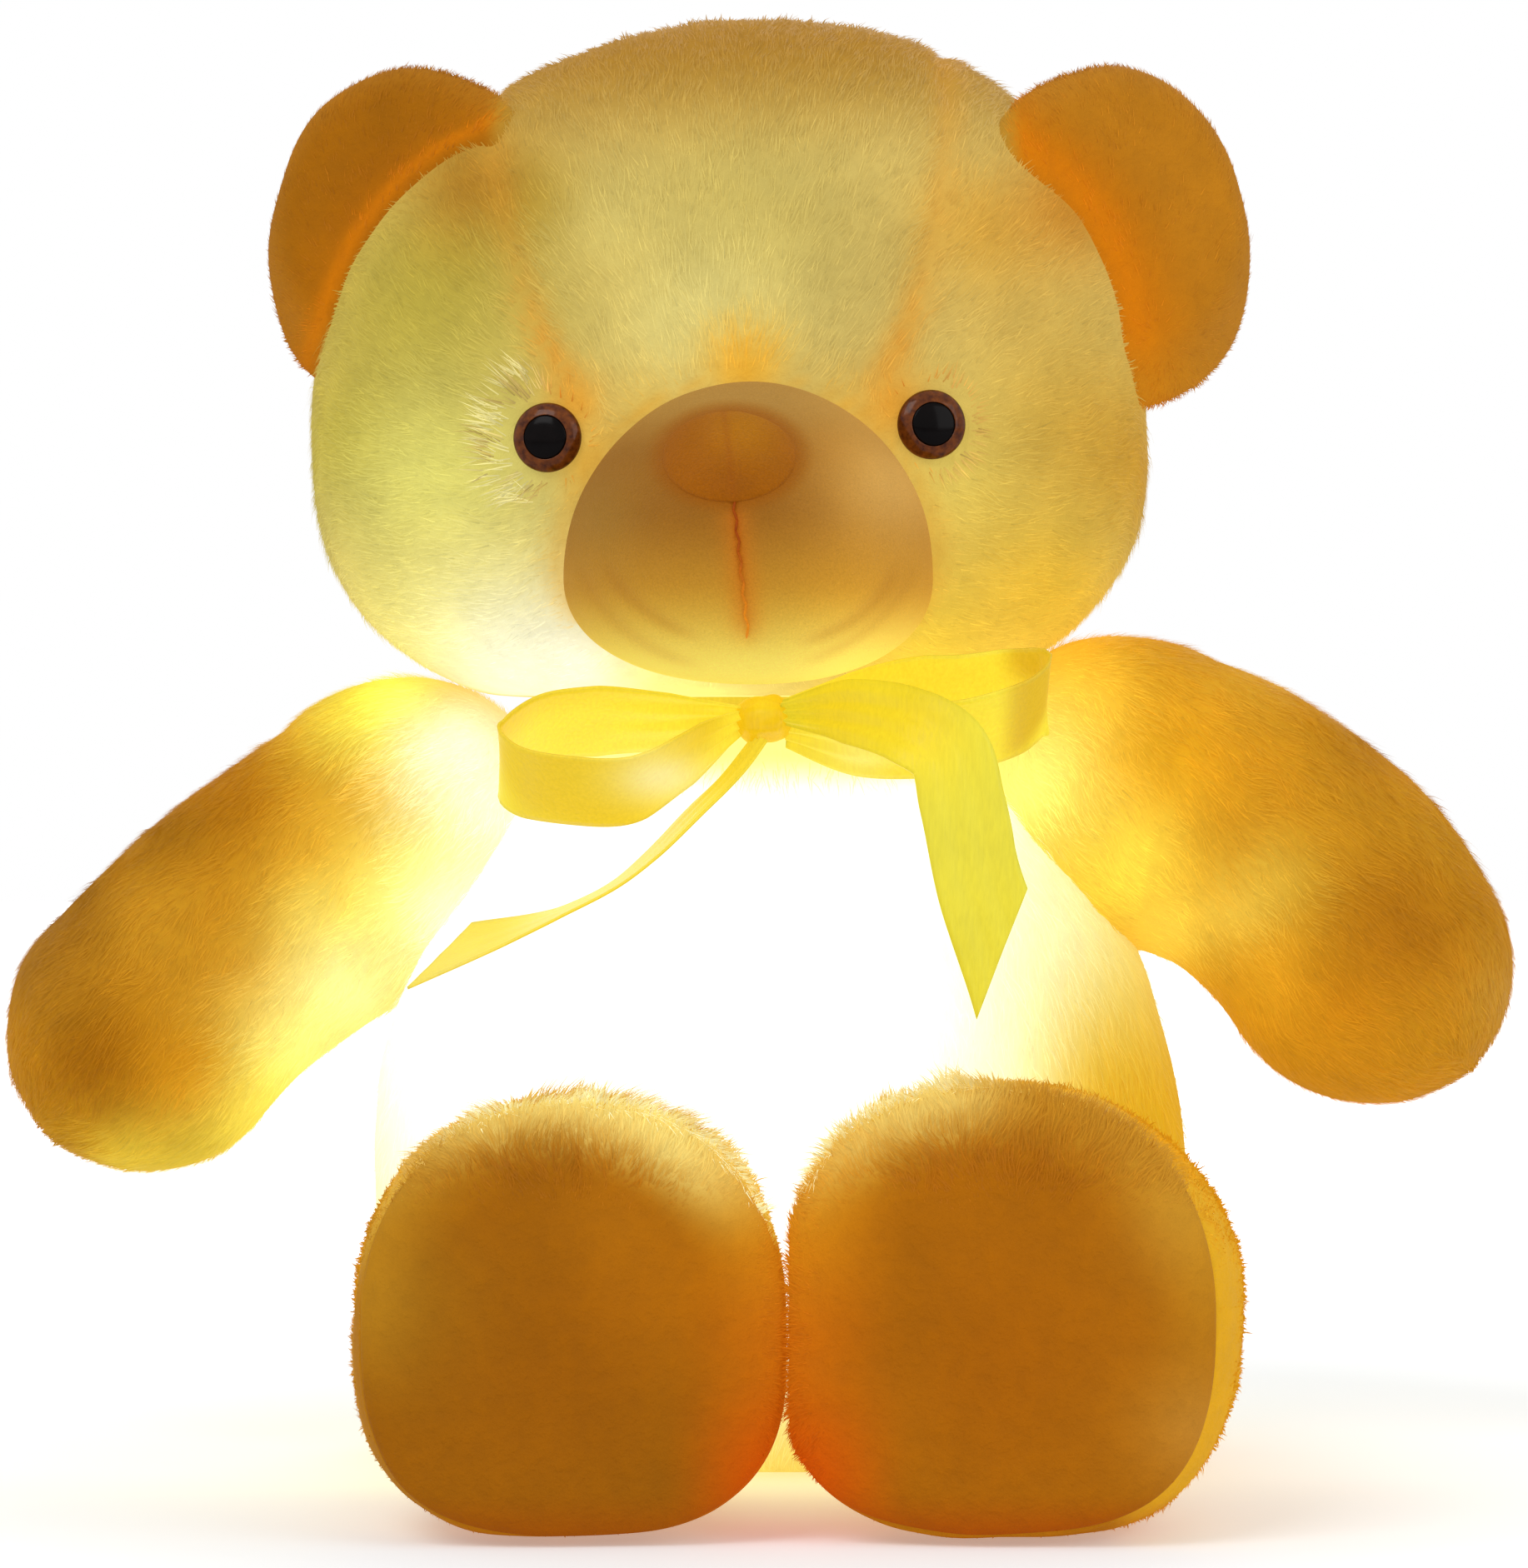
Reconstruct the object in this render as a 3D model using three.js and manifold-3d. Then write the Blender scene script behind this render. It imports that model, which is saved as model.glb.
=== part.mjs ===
// A seated teddy bear that is a night light: a stuffed, furry toy with a lamp in its chest, a battery
// box in a zipped back pocket and a satin bow at its neck. Millimetres, +Z up. The bear faces -Y, so
// its own left is +X. The origin is the middle of the flat seat, on the ground.
import * as THREE from 'three';
import { mergeVertices } from 'three/addons/utils/BufferGeometryUtils.js';
import Module from 'manifold-3d';

const wasm = await Module();
wasm.setup();

// Fits: the gap between pieces that touch, and how far a cutter passes the face that it cuts
const gap = 0.3;
const overrun = 8;

// Torso: a pear with a flat seat and a round neck stump that the head turns on
const torsoHeight = 158;
const torsoHalfWidth = 85;
const seatOffset = 4;
const torsoFrontDepth = 63;
const torsoBackDepth = 62;
const neckRadius = 42.4;
const neckLength = 11;
const torsoSectionPower = 2.2;
// height up to the neck, half-width, front depth and back depth
const torsoStationShares = [
  [0, 0.78, 0.7, 0.71],
  [0.03, 0.87, 0.84, 0.85],
  [0.09, 0.95, 0.93, 0.93],
  [0.19, 0.99, 0.985, 0.98],
  [0.34, 1, 1, 1],
  [0.48, 0.99, 1, 1],
  [0.62, 0.945, 0.985, 0.985],
  [0.73, 0.885, 0.94, 0.955],
  [0.82, 0.8, 0.86, 0.885],
  [0.9, 0.69, 0.775, 0.795],
  [0.96, 0.59, 0.715, 0.73],
];

// Head: rounder above its widest level than below it, turned a little out of level
const headRise = 55;
const headOffset = -7;
const headForward = 4;
const headHalfWidth = 88;
const headCrown = 86;
const headJaw = 60;
const headFrontDepth = 62;
const headBackDepth = 68;
const headRollDegrees = -2;
const headSectionPower = 2.15;
const headCrownPower = 2.2;
const headJawPower = 2.5;
const crownLean = 7;

// Ears: flat rounded pads whose roots reach down the head's sides, with their inner edges turned forwards
const earLeftSpread = 78.5;
const earRightSpread = 66;
const earRise = 43.8;
const earForward = 18;
const earRadius = 31;
const earRoot = 39.5;
const earFrontDepth = 7.5;
const earBackDepth = 9.5;
const earSplayDegrees = 19;
const earTurnDegrees = 25;
const earSectionPower = 2.3;
const earRootPower = 2.2;

// Face: how far it lies beside the head's middle, and the muzzle with its nose patch and stitched seam
const faceOffset = 2;
const muzzleOffset = 2;
const muzzleHalfWidth = 37;
const muzzleUpper = 39.3;
const muzzleLower = 21.3;
const muzzleLift = 2;
const muzzleReach = 42;
const muzzleSet = 4;
const muzzleBackDepth = 24;
const muzzleSectionPower = 2.1;
const muzzleJawPower = 2.2;
const noseOffset = -3.8;
const noseRise = 22.6;
const noseHalfWidth = 13;
const noseHalfHeight = 9.3;
const noseThickness = 1.2;
const stitchWidth = 1.3;
const stitchThickness = 0.8;
const stitchLength = 36;
const stitchSlantDegrees = 6;

// Eyes: a black core with a stem, an amber ring round it, and a washer that locks the stem
const eyeSpread = 38.3;
const eyeDrop = 2.3;
const eyeTurnDegrees = 12;
const irisRadius = 7;
const pupilRadius = 4.35;
const eyeEdge = 1.2;
const eyeDome = 2.6;
const eyePlateRadius = 6.6;
const eyePlateThickness = 1;
const eyeStemRadius = 2.2;
const eyeStemLength = 13;
const eyeClothDepth = 4;
const washerRadius = 6.5;
const washerThickness = 2;

// Arms: a ball in the torso's socket, and a forearm that arches out of it and down to the paw
const shoulderSpread = 75;
const leftShoulderDrop = 20.5;
const rightShoulderDrop = 29;
const shoulderRadius = 33.5;
const pawRadius = 30;
const leftArmReach = 61.5;
const rightArmReach = 66.5;
const leftArmDroopDegrees = 34;
const rightArmDroopDegrees = 37;
const leftArmBow = 8;
const rightArmBow = 4;
const armForward = 12;
const armpitStep = 4;
// distance from shoulder to paw, and radius over the paw's radius
const armStationShares = [
  [0, 1.05],
  [0.25, 1.03],
  [0.5, 1.01],
  [0.75, 1],
  [1, 1],
];

// distance past the paw's centre over the paw's radius, at the rings of its rounded end
const pawEndShares = [0.35, 0.6, 0.8, 0.93, 0.99];

// Legs: a ball in the torso's socket, and a leg that lies forwards and swells at the foot
const leftHipSpread = 52;
const rightHipSpread = 42;
const hipForward = 42;
const hipHeight = 36;
const hipRadius = 34;
const leftFootRadius = 42;
const rightFootRadius = 40.5;
const legLength = 123;
const leftLegBow = 3.5;
const leftSoleSpread = 42.5;
const rightSoleSpread = 35;
const legParting = 4.5;
const footFlat = 0.5;
const legLiftDegrees = 22;
const thighFlare = 5;
// distance from hip to sole, and radius over the foot's radius
const legStationShares = [
  [0, 0.8],
  [0.22, 0.81],
  [0.42, 0.88],
  [0.58, 0.955],
  [0.7, 0.99],
  [0.8, 1],
  [0.89, 1],
  [0.96, 0.99],
  [1, 0.97],
];
const footFatShare = 0.8;
// fullness of the leg's section at the foot, 2 being round: above and below its middle
const footPower = 2.15;
const footSeatPower = 2.8;
const soleThickness = 7;
// radius over the foot's radius, and height over the sole's thickness
const soleRingShares = [[0.96, 0], [0.95, 0.25], [0.9, 0.53], [0.78, 0.77], [0.55, 0.92], [0.25, 0.99]];

// Ribbon: a collar round the neck, and a bow with two loops and two tails
const ribbonWidth = 20;
const ribbonThickness = 0.8;
const collarHeight = 7.4;
const knotWidth = 12;
const knotHeight = 10;
const knotDepth = 10;
const knotDrop = 4.9;
const rightLoopReach = 53;
const rightLoopDepth = 21;
const rightLoopFall = 17.5;
const leftLoopReach = 57;
const leftLoopDepth = 14;
const leftLoopRise = 20;
const leftTailReach = 47.5;
const leftTailDepth = 23;
const leftTailFall = 47;
const leftTailSkew = 22;
const rightTailReach = 65;
const rightTailDepth = 15;
const rightTailFall = 47.5;
const rightTailSkew = 14;

// Light: a clear tube with a cap at each end, round an upright board of six LEDs
const lightHeight = 64;
const lightForward = 8;
const lightTubeRadius = 9;
const lightTubeWall = 1.2;
const lightTubeLength = 52;
const lightCavityRadius = 11;
const lightHeadroom = 18;
const capThickness = 2.5;
const capSpigot = 3;
const capHoleRadius = 3.8;
const ledBoardWidth = 10;
const ledBoardThickness = 1.2;
const ledRadius = 2.5;
const ledHeight = 3.4;
const ledRows = 3;
// radius and height of the lens's shoulder and of the edge of its dome
const ledShoulderShares = [[1, 0.4], [0.7, 0.85]];

// Leads: two wires from the control board, over the light's top cap, to the LED board
const leadRadius = 0.8;
const leadSpacing = 4;
const ductHalfWidth = 6;
const ductHeight = 10;
const ductDepth = 12;
const leadBendReachShare = 1.4;

// Back pocket: a cavity for the battery box behind a slot, at the foot of the zip's recess
const pocketBase = 26;
const pocketWall = 3;
const pocketRoom = 3;
const pocketSideRoom = 2;
const pocketHeadroom = 4;
const recessDepth = 9;
const recessHalfWidth = 12;
const slotHalfWidth = 5;
const slotMargin = 12;

// Battery box: three upright cells under a door, with the control board above them
const caseWidth = 50;
const caseDepth = 17.1;
const controlBayHeight = 13.5;
const caseWall = 1.5;
const cellBayHeight = 57;
const dividerThickness = 6.5;
const doorThickness = 1.6;
const screwHeadRadius = 2.6;
const screwHeadThickness = 1.1;
const screwRadius = 1.2;
const screwLength = 8;
const screwSlotWidth = 0.7;
const screwSlotDepth = 0.5;
const cellRadius = 7.1;
const cellLength = 49.5;
const cellNubRadius = 2.7;
const cellNubLength = 1;
const cellPitch = 15.2;
const springRadius = 3.6;
const springWire = 0.45;
const springTurns = 2;
const contactPlateSize = 9;
const contactPlateThickness = 0.4;
const controlBoardWidth = 40;
const controlBoardRoom = 0.75;
const controlBoardThickness = 1.2;
const boardStandoff = 3.2;
const standoffRadius = 1.5;
const switchSize = 6;
const buttonOffset = -10;
const buttonRadius = 4.4;
const buttonFlangeRadius = 5.7;
const buttonFlangeThickness = 1.2;
const buttonProud = 1.8;
const buttonTravel = 1.2;
const buttonStem = 3.6;

// Zip: two tapes with interlocking teeth, stops, and a slider with a hanging pull
const zipBase = 38;
const zipLength = 68;
const tapeOuter = 10.5;
const tapeInner = 3.3;
const tapeThickness = 0.8;
const toothPitch = 4.8;
const toothHeight = 2.1;
const toothReach = 0.8;
const toothThickness = 2;
const toothSpineInner = 1.2;
const stopHeight = 2.2;
const sliderHeight = 10;
const sliderHalfWidth = 4.4;
const sliderPlate = 1.4;
const sliderFlange = 0.8;
const sliderLip = 1.6;
const bailRadius = 0.7;
const bailRise = 1.7;
const bailPostWidth = 1;
const bailHalfWidth = 2.6;
const pullWidth = 5;
const pullLength = 20;
const pullThickness = 1;
const pullRoom = 1;

// Facets: sides of the soft forms and of the turned pieces
const formSides = 28;
const limbSides = 18;
const sweepSides = 14;
const ballSides = 24;
const ballRings = 12;
const turnedSides = 16;
const wireSides = 6;

const radians = THREE.MathUtils.degToRad;
const vector = (x, y, z) => new THREE.Vector3(x, y, z);
const upward = vector(0, 0, 1);

// Solids

function solidOf(geometry) {
  const bare = geometry.clone();
  bare.deleteAttribute('normal');
  bare.deleteAttribute('uv');
  const merged = mergeVertices(bare);
  const corners = merged.index.array;
  const kept = [];
  for (let i = 0; i < corners.length; i += 3) {
    const [a, b, c] = [corners[i], corners[i + 1], corners[i + 2]];
    if (a !== b && b !== c && c !== a) kept.push(a, b, c);
  }
  return new wasm.Manifold(new wasm.Mesh({
    numProp: 3,
    vertProperties: Float32Array.from(merged.attributes.position.array),
    triVerts: Uint32Array.from(kept),
  }));
}

function geometryOf(solid) {
  const mesh = solid.getMesh();
  const geometry = new THREE.BufferGeometry();
  geometry.setAttribute('position', new THREE.BufferAttribute(mesh.vertProperties, 3));
  geometry.setIndex(new THREE.BufferAttribute(mesh.triVerts, 1));
  geometry.computeVertexNormals();
  return geometry;
}

function cut(geometry, cutters) {
  return geometryOf(cutters.reduce((left, cutter) => left.subtract(solidOf(cutter)), solidOf(geometry)));
}

function join(geometries) {
  return geometryOf(geometries.map(solidOf).reduce((sum, next) => sum.add(next)));
}

function common(first, second) {
  return geometryOf(solidOf(first).intersect(solidOf(second)));
}

// Closes a stack of rings, each with as many points as the next, into one body that faces outwards
function loft(rings) {
  const sides = rings[0].length;
  const points = rings.flat();
  const corners = [];
  for (let i = 0; i + 1 < rings.length; i += 1) {
    for (let j = 0; j < sides; j += 1) {
      const next = (j + 1) % sides;
      const [a, b, c, d] = [i * sides + j, i * sides + next, (i + 1) * sides + j, (i + 1) * sides + next];
      corners.push(a, b, c, b, d, c);
    }
  }
  [0, rings.length - 1].forEach((i) => {
    const hub = points.length;
    points.push(rings[i].reduce((sum, point) => sum.add(point), vector(0, 0, 0)).divideScalar(sides));
    for (let j = 0; j < sides; j += 1) {
      const [a, b] = [i * sides + j, i * sides + ((j + 1) % sides)];
      corners.push(...(i === 0 ? [b, a, hub] : [a, b, hub]));
    }
  });
  let volume = 0;
  for (let i = 0; i < corners.length; i += 3) {
    const [a, b, c] = [points[corners[i]], points[corners[i + 1]], points[corners[i + 2]]];
    volume += a.dot(vector(0, 0, 0).crossVectors(b, c));
  }
  const geometry = new THREE.BufferGeometry().setFromPoints(points);
  geometry.setIndex(volume < 0 ? corners.reverse() : corners);
  geometry.computeVertexNormals();
  return geometry;
}

const rounded = (value, power) => Math.sign(value) * Math.abs(value) ** (2 / power);

// An oval in a level plane, deeper or shallower in front (-Y) than behind
function levelOval(x, y, z, halfWidth, frontDepth, backDepth, power, sides) {
  return Array.from({ length: sides }, (_, i) => {
    const angle = (2 * Math.PI * i) / sides;
    const depth = Math.sin(angle) < 0 ? frontDepth : backDepth;
    return vector(
      x + halfWidth * rounded(Math.cos(angle), power),
      y + depth * rounded(Math.sin(angle), power),
      z,
    );
  });
}

// An egg of level ovals: its half-width, its depths and its upper and lower heights are its own. The
// lean moves its top to +X.
function egg({
  halfWidth, frontDepth, backDepth, upper, lower, upperPower = 2, lowerPower, power, lean = 0, rings, sides,
}) {
  const levels = [];
  for (let i = 1; i < rings; i += 1) {
    const rise = Math.sin(Math.PI * (i / rings - 0.5));
    const fullness = rise < 0 ? lowerPower : upperPower;
    const share = (1 - Math.abs(rise) ** fullness) ** (1 / fullness);
    levels.push(levelOval(
      lean * Math.max(0, rise) ** 2, 0, rise * (rise < 0 ? lower : upper),
      halfWidth * share, frontDepth * share, backDepth * share, power, sides,
    ));
  }
  return loft(levels);
}

function ball(radius, centre) {
  const geometry = new THREE.SphereGeometry(radius, ballSides, ballRings);
  geometry.rotateZ(Math.PI / 2);
  return geometry.translate(centre.x, centre.y, centre.z);
}

// A faceted socket that clears a ball of the radius, whichever way the ball has turned
function socket(radius, centre) {
  const facetShare = Math.cos(Math.PI / ballSides) * Math.cos(Math.PI / (2 * ballRings));
  return ball((radius + gap) / facetShare, centre);
}

function box(lowX, highX, lowY, highY, lowZ, highZ) {
  const geometry = new THREE.BoxGeometry(highX - lowX, highY - lowY, highZ - lowZ);
  return geometry.translate((lowX + highX) / 2, (lowY + highY) / 2, (lowZ + highZ) / 2);
}

// A cylinder along Z or Y between two places on that axis
function post(radius, x, y, lowZ, highZ, sides = turnedSides) {
  const geometry = new THREE.CylinderGeometry(radius, radius, highZ - lowZ, sides);
  geometry.rotateX(Math.PI / 2);
  return geometry.translate(x, y, (lowZ + highZ) / 2);
}

function plug(radius, x, z, lowY, highY, sides = turnedSides) {
  const geometry = new THREE.CylinderGeometry(radius, radius, highY - lowY, sides);
  return geometry.translate(x, (lowY + highY) / 2, z);
}

// A ring round a place and across a direction. The powers are its fullness, above and below.
function ringAcross(centre, along, radius, sides, power = 2, lowerPower = power) {
  const across = vector(0, 0, 0).crossVectors(upward, along).normalize();
  const over = vector(0, 0, 0).crossVectors(along, across);
  return Array.from({ length: sides }, (_, i) => {
    const angle = (2 * Math.PI * i) / sides;
    const fullness = Math.sin(angle) < 0 ? lowerPower : power;
    return centre.clone()
      .addScaledVector(across, radius * rounded(Math.cos(angle), fullness))
      .addScaledVector(over, radius * rounded(Math.sin(angle), fullness));
  });
}

// A limb along a straight axis, from stations of distance, radius and fullness
function limb(start, end, stations, sides = limbSides) {
  const along = end.clone().sub(start);
  const length = along.length();
  along.normalize();
  return loft(stations(length).map(([distance, radius, ...powers]) => (
    ringAcross(start.clone().addScaledVector(along, distance), along, radius, sides, ...powers)
  )));
}

// A flat ribbon of one thickness along a curve. Its width lies along the given directions, is drawn in
// by the given shares, and its far end is cut askew.
function ribbon({ points, widthways, widthShares, steps, skew = 0, skewShare = 1 }) {
  const line = new THREE.CatmullRomCurve3(points);
  const facing = new THREE.CatmullRomCurve3(widthways);
  const last = widthShares.length - 1;
  const rings = [];
  for (let i = 0; i <= steps; i += 1) {
    const way = i / steps;
    const centre = line.getPointAt(way);
    const tangent = line.getTangentAt(way);
    const across = facing.getPoint(way);
    across.addScaledVector(tangent, -across.dot(tangent)).normalize();
    const normal = vector(0, 0, 0).crossVectors(tangent, across);
    const slot = Math.min(Math.floor(way * last), last - 1);
    const share = THREE.MathUtils.lerp(widthShares[slot], widthShares[slot + 1], way * last - slot);
    const lag = (skew / 2) * Math.max(0, (way - 1 + skewShare) / skewShare);
    rings.push([[1, 1], [1, -1], [-1, -1], [-1, 1]].map(([edge, face]) => centre.clone()
      .addScaledVector(across, (edge * share * ribbonWidth) / 2)
      .addScaledVector(normal, (face * ribbonThickness) / 2)
      .addScaledVector(tangent, edge * lag)));
  }
  return loft(rings);
}

// A round wire along a curve
function wire(curve, radius, sides, steps) {
  const section = new THREE.Shape(Array.from({ length: sides }, (_, i) => {
    const angle = (2 * Math.PI * i) / sides;
    return new THREE.Vector2(radius * Math.cos(angle), radius * Math.sin(angle));
  }));
  return new THREE.ExtrudeGeometry(section, { steps, extrudePath: curve, bevelEnabled: false });
}

// Materials

function material(colour, roughness, metalness = 0) {
  return new THREE.MeshStandardMaterial({ color: colour, roughness, metalness });
}

const litFur = () => material(0xfff3b0, 0.95);
const headFur = () => material(0xd9c37a, 0.95);
const goldFur = () => material(0xd39a2c, 0.95);
const amberPile = () => material(0xb36c14, 0.95);
const muzzlePile = () => material(0xc9985a, 0.9);
const nosePile = () => material(0xc4790f, 0.85);
const stitchThread = () => material(0x9a3d14, 0.7);
const satin = () => material(0xf0dc3c, 0.35);
const amberPlastic = () => material(0x5a2408, 0.12);
const blackPlastic = () => material(0x0a0605, 0.12);
const whitePlastic = () => material(0xe8e6df, 0.45);
const clearPlastic = () => material(0xf4f6f2, 0.1);
const tapeCloth = () => material(0xcaa04e, 0.85);
const toothPlastic = () => material(0xe3c27a, 0.4);
const steel = () => material(0xb9bbbd, 0.3, 1);
const brass = () => material(0xc8a24a, 0.35, 1);
const boardGreen = () => material(0x1f6b3a, 0.5);
const boardWhite = () => material(0xf2f2ee, 0.5);
const cellWrap = () => material(0x3c4a52, 0.35);
const switchRed = () => material(0xb3261e, 0.4);
const ledLens = () => material(0xfff0b8, 0.2);
const leadRed = () => material(0xb01818, 0.5);
const leadBlack = () => material(0x151515, 0.5);

const bear = new THREE.Group();

function piece(group, name, geometry, look) {
  const mesh = new THREE.Mesh(geometry, look);
  mesh.name = name;
  group.add(mesh);
  return mesh;
}

// A group at a joint or a seat. A piece that is shaped in the bear's frame moves into the group's.
function groupAt(place) {
  const group = new THREE.Group();
  group.position.copy(place);
  bear.add(group);
  return group;
}

function shapedPiece(group, name, geometry, look) {
  const { x, y, z } = group.position;
  return piece(group, name, geometry.translate(-x, -y, -z), look);
}

// Head and face

const headCentre = vector(headOffset, -headForward, torsoHeight + headRise);

function headForm(growth) {
  const form = egg({
    halfWidth: headHalfWidth + growth,
    frontDepth: headFrontDepth + growth,
    backDepth: headBackDepth + growth,
    upper: headCrown + growth,
    lower: headJaw + growth,
    upperPower: headCrownPower,
    lowerPower: headJawPower,
    power: headSectionPower,
    lean: crownLean,
    rings: 15,
    sides: formSides,
  });
  form.rotateY(radians(headRollDegrees));
  return form.translate(headCentre.x, headCentre.y, headCentre.z);
}

// How far in front of the head's centre its skin is, at a place beside and above that centre
function headFront(beside, above) {
  const rise = Math.min(1, Math.abs(above) / (above < 0 ? headJaw : headCrown));
  const fullness = above < 0 ? headJawPower : headCrownPower;
  const share = (1 - rise ** fullness) ** (1 / fullness);
  const aside = Math.abs(beside / headHalfWidth) ** headSectionPower;
  return headFrontDepth * (share ** headSectionPower - aside) ** (1 / headSectionPower);
}

const muzzleCentre = vector(
  headCentre.x + faceOffset + muzzleOffset,
  headCentre.y - headFrontDepth + muzzleSet,
  torsoHeight + muzzleLift + muzzleLower,
);

function muzzleForm(growth) {
  return egg({
    halfWidth: muzzleHalfWidth + growth,
    frontDepth: muzzleReach + muzzleSet + growth,
    backDepth: muzzleBackDepth + growth,
    upper: muzzleUpper + growth,
    lower: muzzleLower + growth,
    lowerPower: muzzleJawPower,
    power: muzzleSectionPower,
    rings: 12,
    sides: 26,
  }).translate(muzzleCentre.x, muzzleCentre.y, muzzleCentre.z);
}

function earForm(side, spread) {
  const form = egg({
    halfWidth: earRadius,
    frontDepth: earFrontDepth,
    backDepth: earBackDepth,
    upper: earRadius,
    lower: earRoot,
    lowerPower: earRootPower,
    power: earSectionPower,
    rings: 10,
    sides: 20,
  });
  form.rotateY(radians(-side * earSplayDegrees));
  form.rotateZ(radians(side * earTurnDegrees));
  form.translate(headCentre.x + side * spread, headCentre.y - earForward, headCentre.z + earRise);
  return cut(form, [headForm(gap)]);
}

// Turned shapes run along Y, with their fronts towards -Y, from profiles of radius and outward height
function turned(profile, sides = turnedSides) {
  const points = profile.map(([radius, height]) => new THREE.Vector2(radius, -height));
  return new THREE.LatheGeometry(points.reverse(), sides);
}

const eyeDomeHeight = (radius) => (
  eyeEdge + eyeDome * Math.sqrt(1 - Math.min(1, radius / irisRadius) ** 2)
);
const domeShares = [0, 0.4, 0.75, 1];

function pupilProfile() {
  const dome = domeShares.map((step) => [pupilRadius * (1 - step), eyeDomeHeight(pupilRadius * (1 - step))]);
  return [
    [0, -eyeStemLength],
    [eyeStemRadius, -eyeStemLength],
    [eyeStemRadius, -eyePlateThickness],
    [eyePlateRadius, -eyePlateThickness],
    [eyePlateRadius, 0],
    [pupilRadius, 0],
    ...dome,
  ];
}

function irisProfile() {
  const inner = pupilRadius + gap;
  const rim = domeShares.map((step) => {
    const radius = THREE.MathUtils.lerp(irisRadius, inner, step);
    return [radius, eyeDomeHeight(radius)];
  });
  return [[inner, gap], [irisRadius, gap], ...rim, [inner, gap]];
}

function washerProfile() {
  const [inner, high] = [eyeStemRadius + gap, -eyeClothDepth - eyePlateThickness];
  const low = high - washerThickness;
  return [[inner, low], [washerRadius, low], [washerRadius, high], [inner, high], [inner, low]];
}

function eyeCavityProfile() {
  const stem = eyeStemRadius + 2 * gap;
  const washerHigh = -eyeClothDepth - eyePlateThickness + gap;
  const washerLow = washerHigh - washerThickness - 2 * gap;
  const seat = -eyePlateThickness - gap;
  return [
    [0, -eyeStemLength - gap],
    [stem, -eyeStemLength - gap],
    [stem, washerLow],
    [washerRadius + gap, washerLow],
    [washerRadius + gap, washerHigh],
    [stem, washerHigh],
    [stem, seat],
    [irisRadius + gap, seat],
    [irisRadius + gap, overrun],
    [0, overrun],
  ];
}

function eyePlace(side) {
  const roll = radians(headRollDegrees);
  const beside = faceOffset + side * eyeSpread;
  const place = vector(beside, -headFront(beside, -eyeDrop), -eyeDrop);
  return place.applyAxisAngle(vector(0, 1, 0), roll).add(headCentre);
}

function addHead() {
  const group = groupAt(vector(0, 0, torsoHeight));
  const eyes = [['left', 1], ['right', -1]];
  const eyeCavities = eyes.map(([, side]) => {
    const place = eyePlace(side);
    const cavity = turned(eyeCavityProfile()).rotateZ(radians(side * eyeTurnDegrees));
    return cavity.translate(place.x, place.y, place.z);
  });
  const wide = headHalfWidth + overrun;
  const belowHead = box(
    -wide, wide, -wide, wide, torsoHeight - headJaw, torsoHeight + gap,
  );
  shapedPiece(group, 'head', cut(headForm(0), [belowHead, ...eyeCavities]), headFur());
  shapedPiece(group, 'muzzle', cut(muzzleForm(0), [headForm(gap)]), muzzlePile());
  shapedPiece(group, 'nose_patch', common(muzzleShell(noseThickness), noseOutline(0)), nosePile());
  shapedPiece(group, 'mouth_stitch', mouthStitch(), stitchThread());
  shapedPiece(group, 'ear_left', earForm(1, earLeftSpread), goldFur());
  shapedPiece(group, 'ear_right', earForm(-1, earRightSpread), goldFur());
  eyes.forEach(([name, side]) => {
    const seat = new THREE.Group();
    seat.position.copy(eyePlace(side)).sub(group.position);
    seat.rotation.z = radians(side * eyeTurnDegrees);
    group.add(seat);
    piece(seat, `eye_iris_${name}`, turned(irisProfile()), amberPlastic());
    piece(seat, `eye_pupil_${name}`, turned(pupilProfile()), blackPlastic());
    piece(seat, `eye_washer_${name}`, turned(washerProfile()), whitePlastic());
  });
  addRibbon(group);
}

// The patch and the stitches are parts of thin shells over the muzzle
function muzzleShell(thickness) {
  return cut(muzzleForm(gap + thickness), [muzzleForm(gap)]);
}

function noseOutline(growth) {
  const outline = plug(noseHalfWidth + growth, 0, 0, -muzzleReach - overrun, 0, 28);
  outline.scale(1, 1, (noseHalfHeight + growth) / (noseHalfWidth + growth));
  return outline.translate(muzzleCentre.x + noseOffset, muzzleCentre.y, muzzleCentre.z + noseRise);
}

function mouthStitch() {
  const strip = box(
    -stitchWidth / 2, stitchWidth / 2, -muzzleReach - overrun, 0, -stitchLength, -noseHalfHeight - gap,
  );
  strip.rotateY(radians(-stitchSlantDegrees));
  strip.translate(muzzleCentre.x + noseOffset, muzzleCentre.y, muzzleCentre.z + noseRise);
  return common(muzzleShell(stitchThickness), cut(strip, [noseOutline(gap)]));
}

// Ribbon. Places along the loops and tails are shares of their reach, depth and fall from the knot.

function placesOf(shares, reach, depth, rise, centre) {
  return shares.map(([x, y, z]) => vector(centre.x + x * reach, centre.y + y * depth, centre.z + z * rise));
}

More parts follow.
